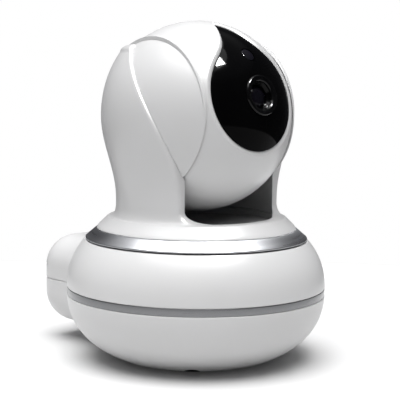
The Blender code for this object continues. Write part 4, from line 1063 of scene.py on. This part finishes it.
def make_floor():
    """A plain pale sheet under the object."""
    shape = bmesh.new()
    bmesh.ops.create_circle(shape, cap_ends=True, segments=64, radius=FLOOR_RADIUS)
    mesh = bpy.data.meshes.new("floor")
    shape.to_mesh(mesh)
    shape.free()
    floor = bpy.data.objects.new("floor", mesh)
    floor.location = (FLOOR_SHIFT * math.sin(CAMERA_TURN), -FLOOR_SHIFT * math.cos(CAMERA_TURN),
                      0.0)
    bpy.context.scene.collection.objects.link(floor)
    paper = bpy.data.materials.new("floor_paper")
    paper.use_nodes = True
    shader = paper.node_tree.nodes["Principled BSDF"]
    shader.inputs["Base Color"].default_value = (0.62, 0.62, 0.62, 1.0)
    shader.inputs["Roughness"].default_value = 0.9
    shader.inputs["Emission Color"].default_value = (1.0, 1.0, 1.0, 1.0)
    shader.inputs["Emission Strength"].default_value = 0.02
    mesh.materials.append(paper)


def add_lamp(name, kind, towards, power):
    """A lamp that shines on the ball from the direction given."""
    light = bpy.data.lights.new(name, kind)
    light.energy = power
    lamp = bpy.data.objects.new(name, light)
    bpy.context.scene.collection.objects.link(lamp)
    lamp.location = Vector(BALL_CENTRE) + towards.normalized() * KEY_DISTANCE
    lamp.rotation_euler = (-towards).to_track_quat("-Z", "Y").to_euler()
    return lamp


def make_light():
    """The dome, which the camera sees as white, and two lamps."""
    world = bpy.data.worlds.new("studio")
    bpy.context.scene.world = world
    world.use_nodes = True
    nodes = world.node_tree.nodes
    links = world.node_tree.links
    where = nodes.new("ShaderNodeTexCoord")
    height = nodes.new("ShaderNodeVectorMath")
    height.operation = "DOT_PRODUCT"
    height.inputs[1].default_value = SOFTBOX_AXIS
    links.new(where.outputs["Generated"], height.inputs[0])
    sky = nodes.new("ShaderNodeValToRGB")
    sky.color_ramp.elements[0].position = SOFTBOX_EDGE
    sky.color_ramp.elements[0].color = (*SIDE_LIGHT, 1.0)
    sky.color_ramp.elements[1].position = SOFTBOX_FULL
    sky.color_ramp.elements[1].color = (*OVERHEAD_LIGHT, 1.0)
    links.new(height.outputs["Value"], sky.inputs["Fac"])
    seen = nodes.new("ShaderNodeBackground")
    seen.inputs["Color"].default_value = (1.0, 1.0, 1.0, 1.0)
    lit = nodes["Background"]
    links.new(sky.outputs["Color"], lit.inputs["Color"])
    path = nodes.new("ShaderNodeLightPath")
    mix = nodes.new("ShaderNodeMixShader")
    links.new(path.outputs["Is Camera Ray"], mix.inputs["Fac"])
    links.new(lit.outputs["Background"], mix.inputs[1])
    links.new(seen.outputs["Background"], mix.inputs[2])
    links.new(mix.outputs["Shader"], nodes["World Output"].inputs["Surface"])
    add_lamp("overhead_glow", "SUN", TOP_DIRECTION, TOP_STRENGTH).data.angle = TOP_SPREAD
    key = add_lamp("key_softbox", "AREA", KEY_DIRECTION, KEY_POWER)
    key.data.size = KEY_WIDTH
    key.data.spread = KEY_SPREAD
    key.visible_diffuse = False  # it only adds reflections
    bpy.context.scene.view_settings.view_transform = "Standard"


def give_materials():
    """Give every CAD node that still shows the material of its slot."""
    for part in frame["record"]["subparts"]:
        node = frame["nodes"][part["node"]]
        node.data.materials.clear()
        node.data.materials.append(MATERIALS[part["material_slot"]])


make_camera()
make_floor()
make_light()
give_materials()
make_upper_shell()
make_lower_shell()
make_trim_ring()
make_foot()
make_table_ring()
make_yoke()
make_ear_cap("near_ear", "left_ear_cap", -1)
make_ear_cap("far_ear", "right_ear_cap", 1)
make_front_shell()
make_rear_shell()
make_face_panel()
make_lens()
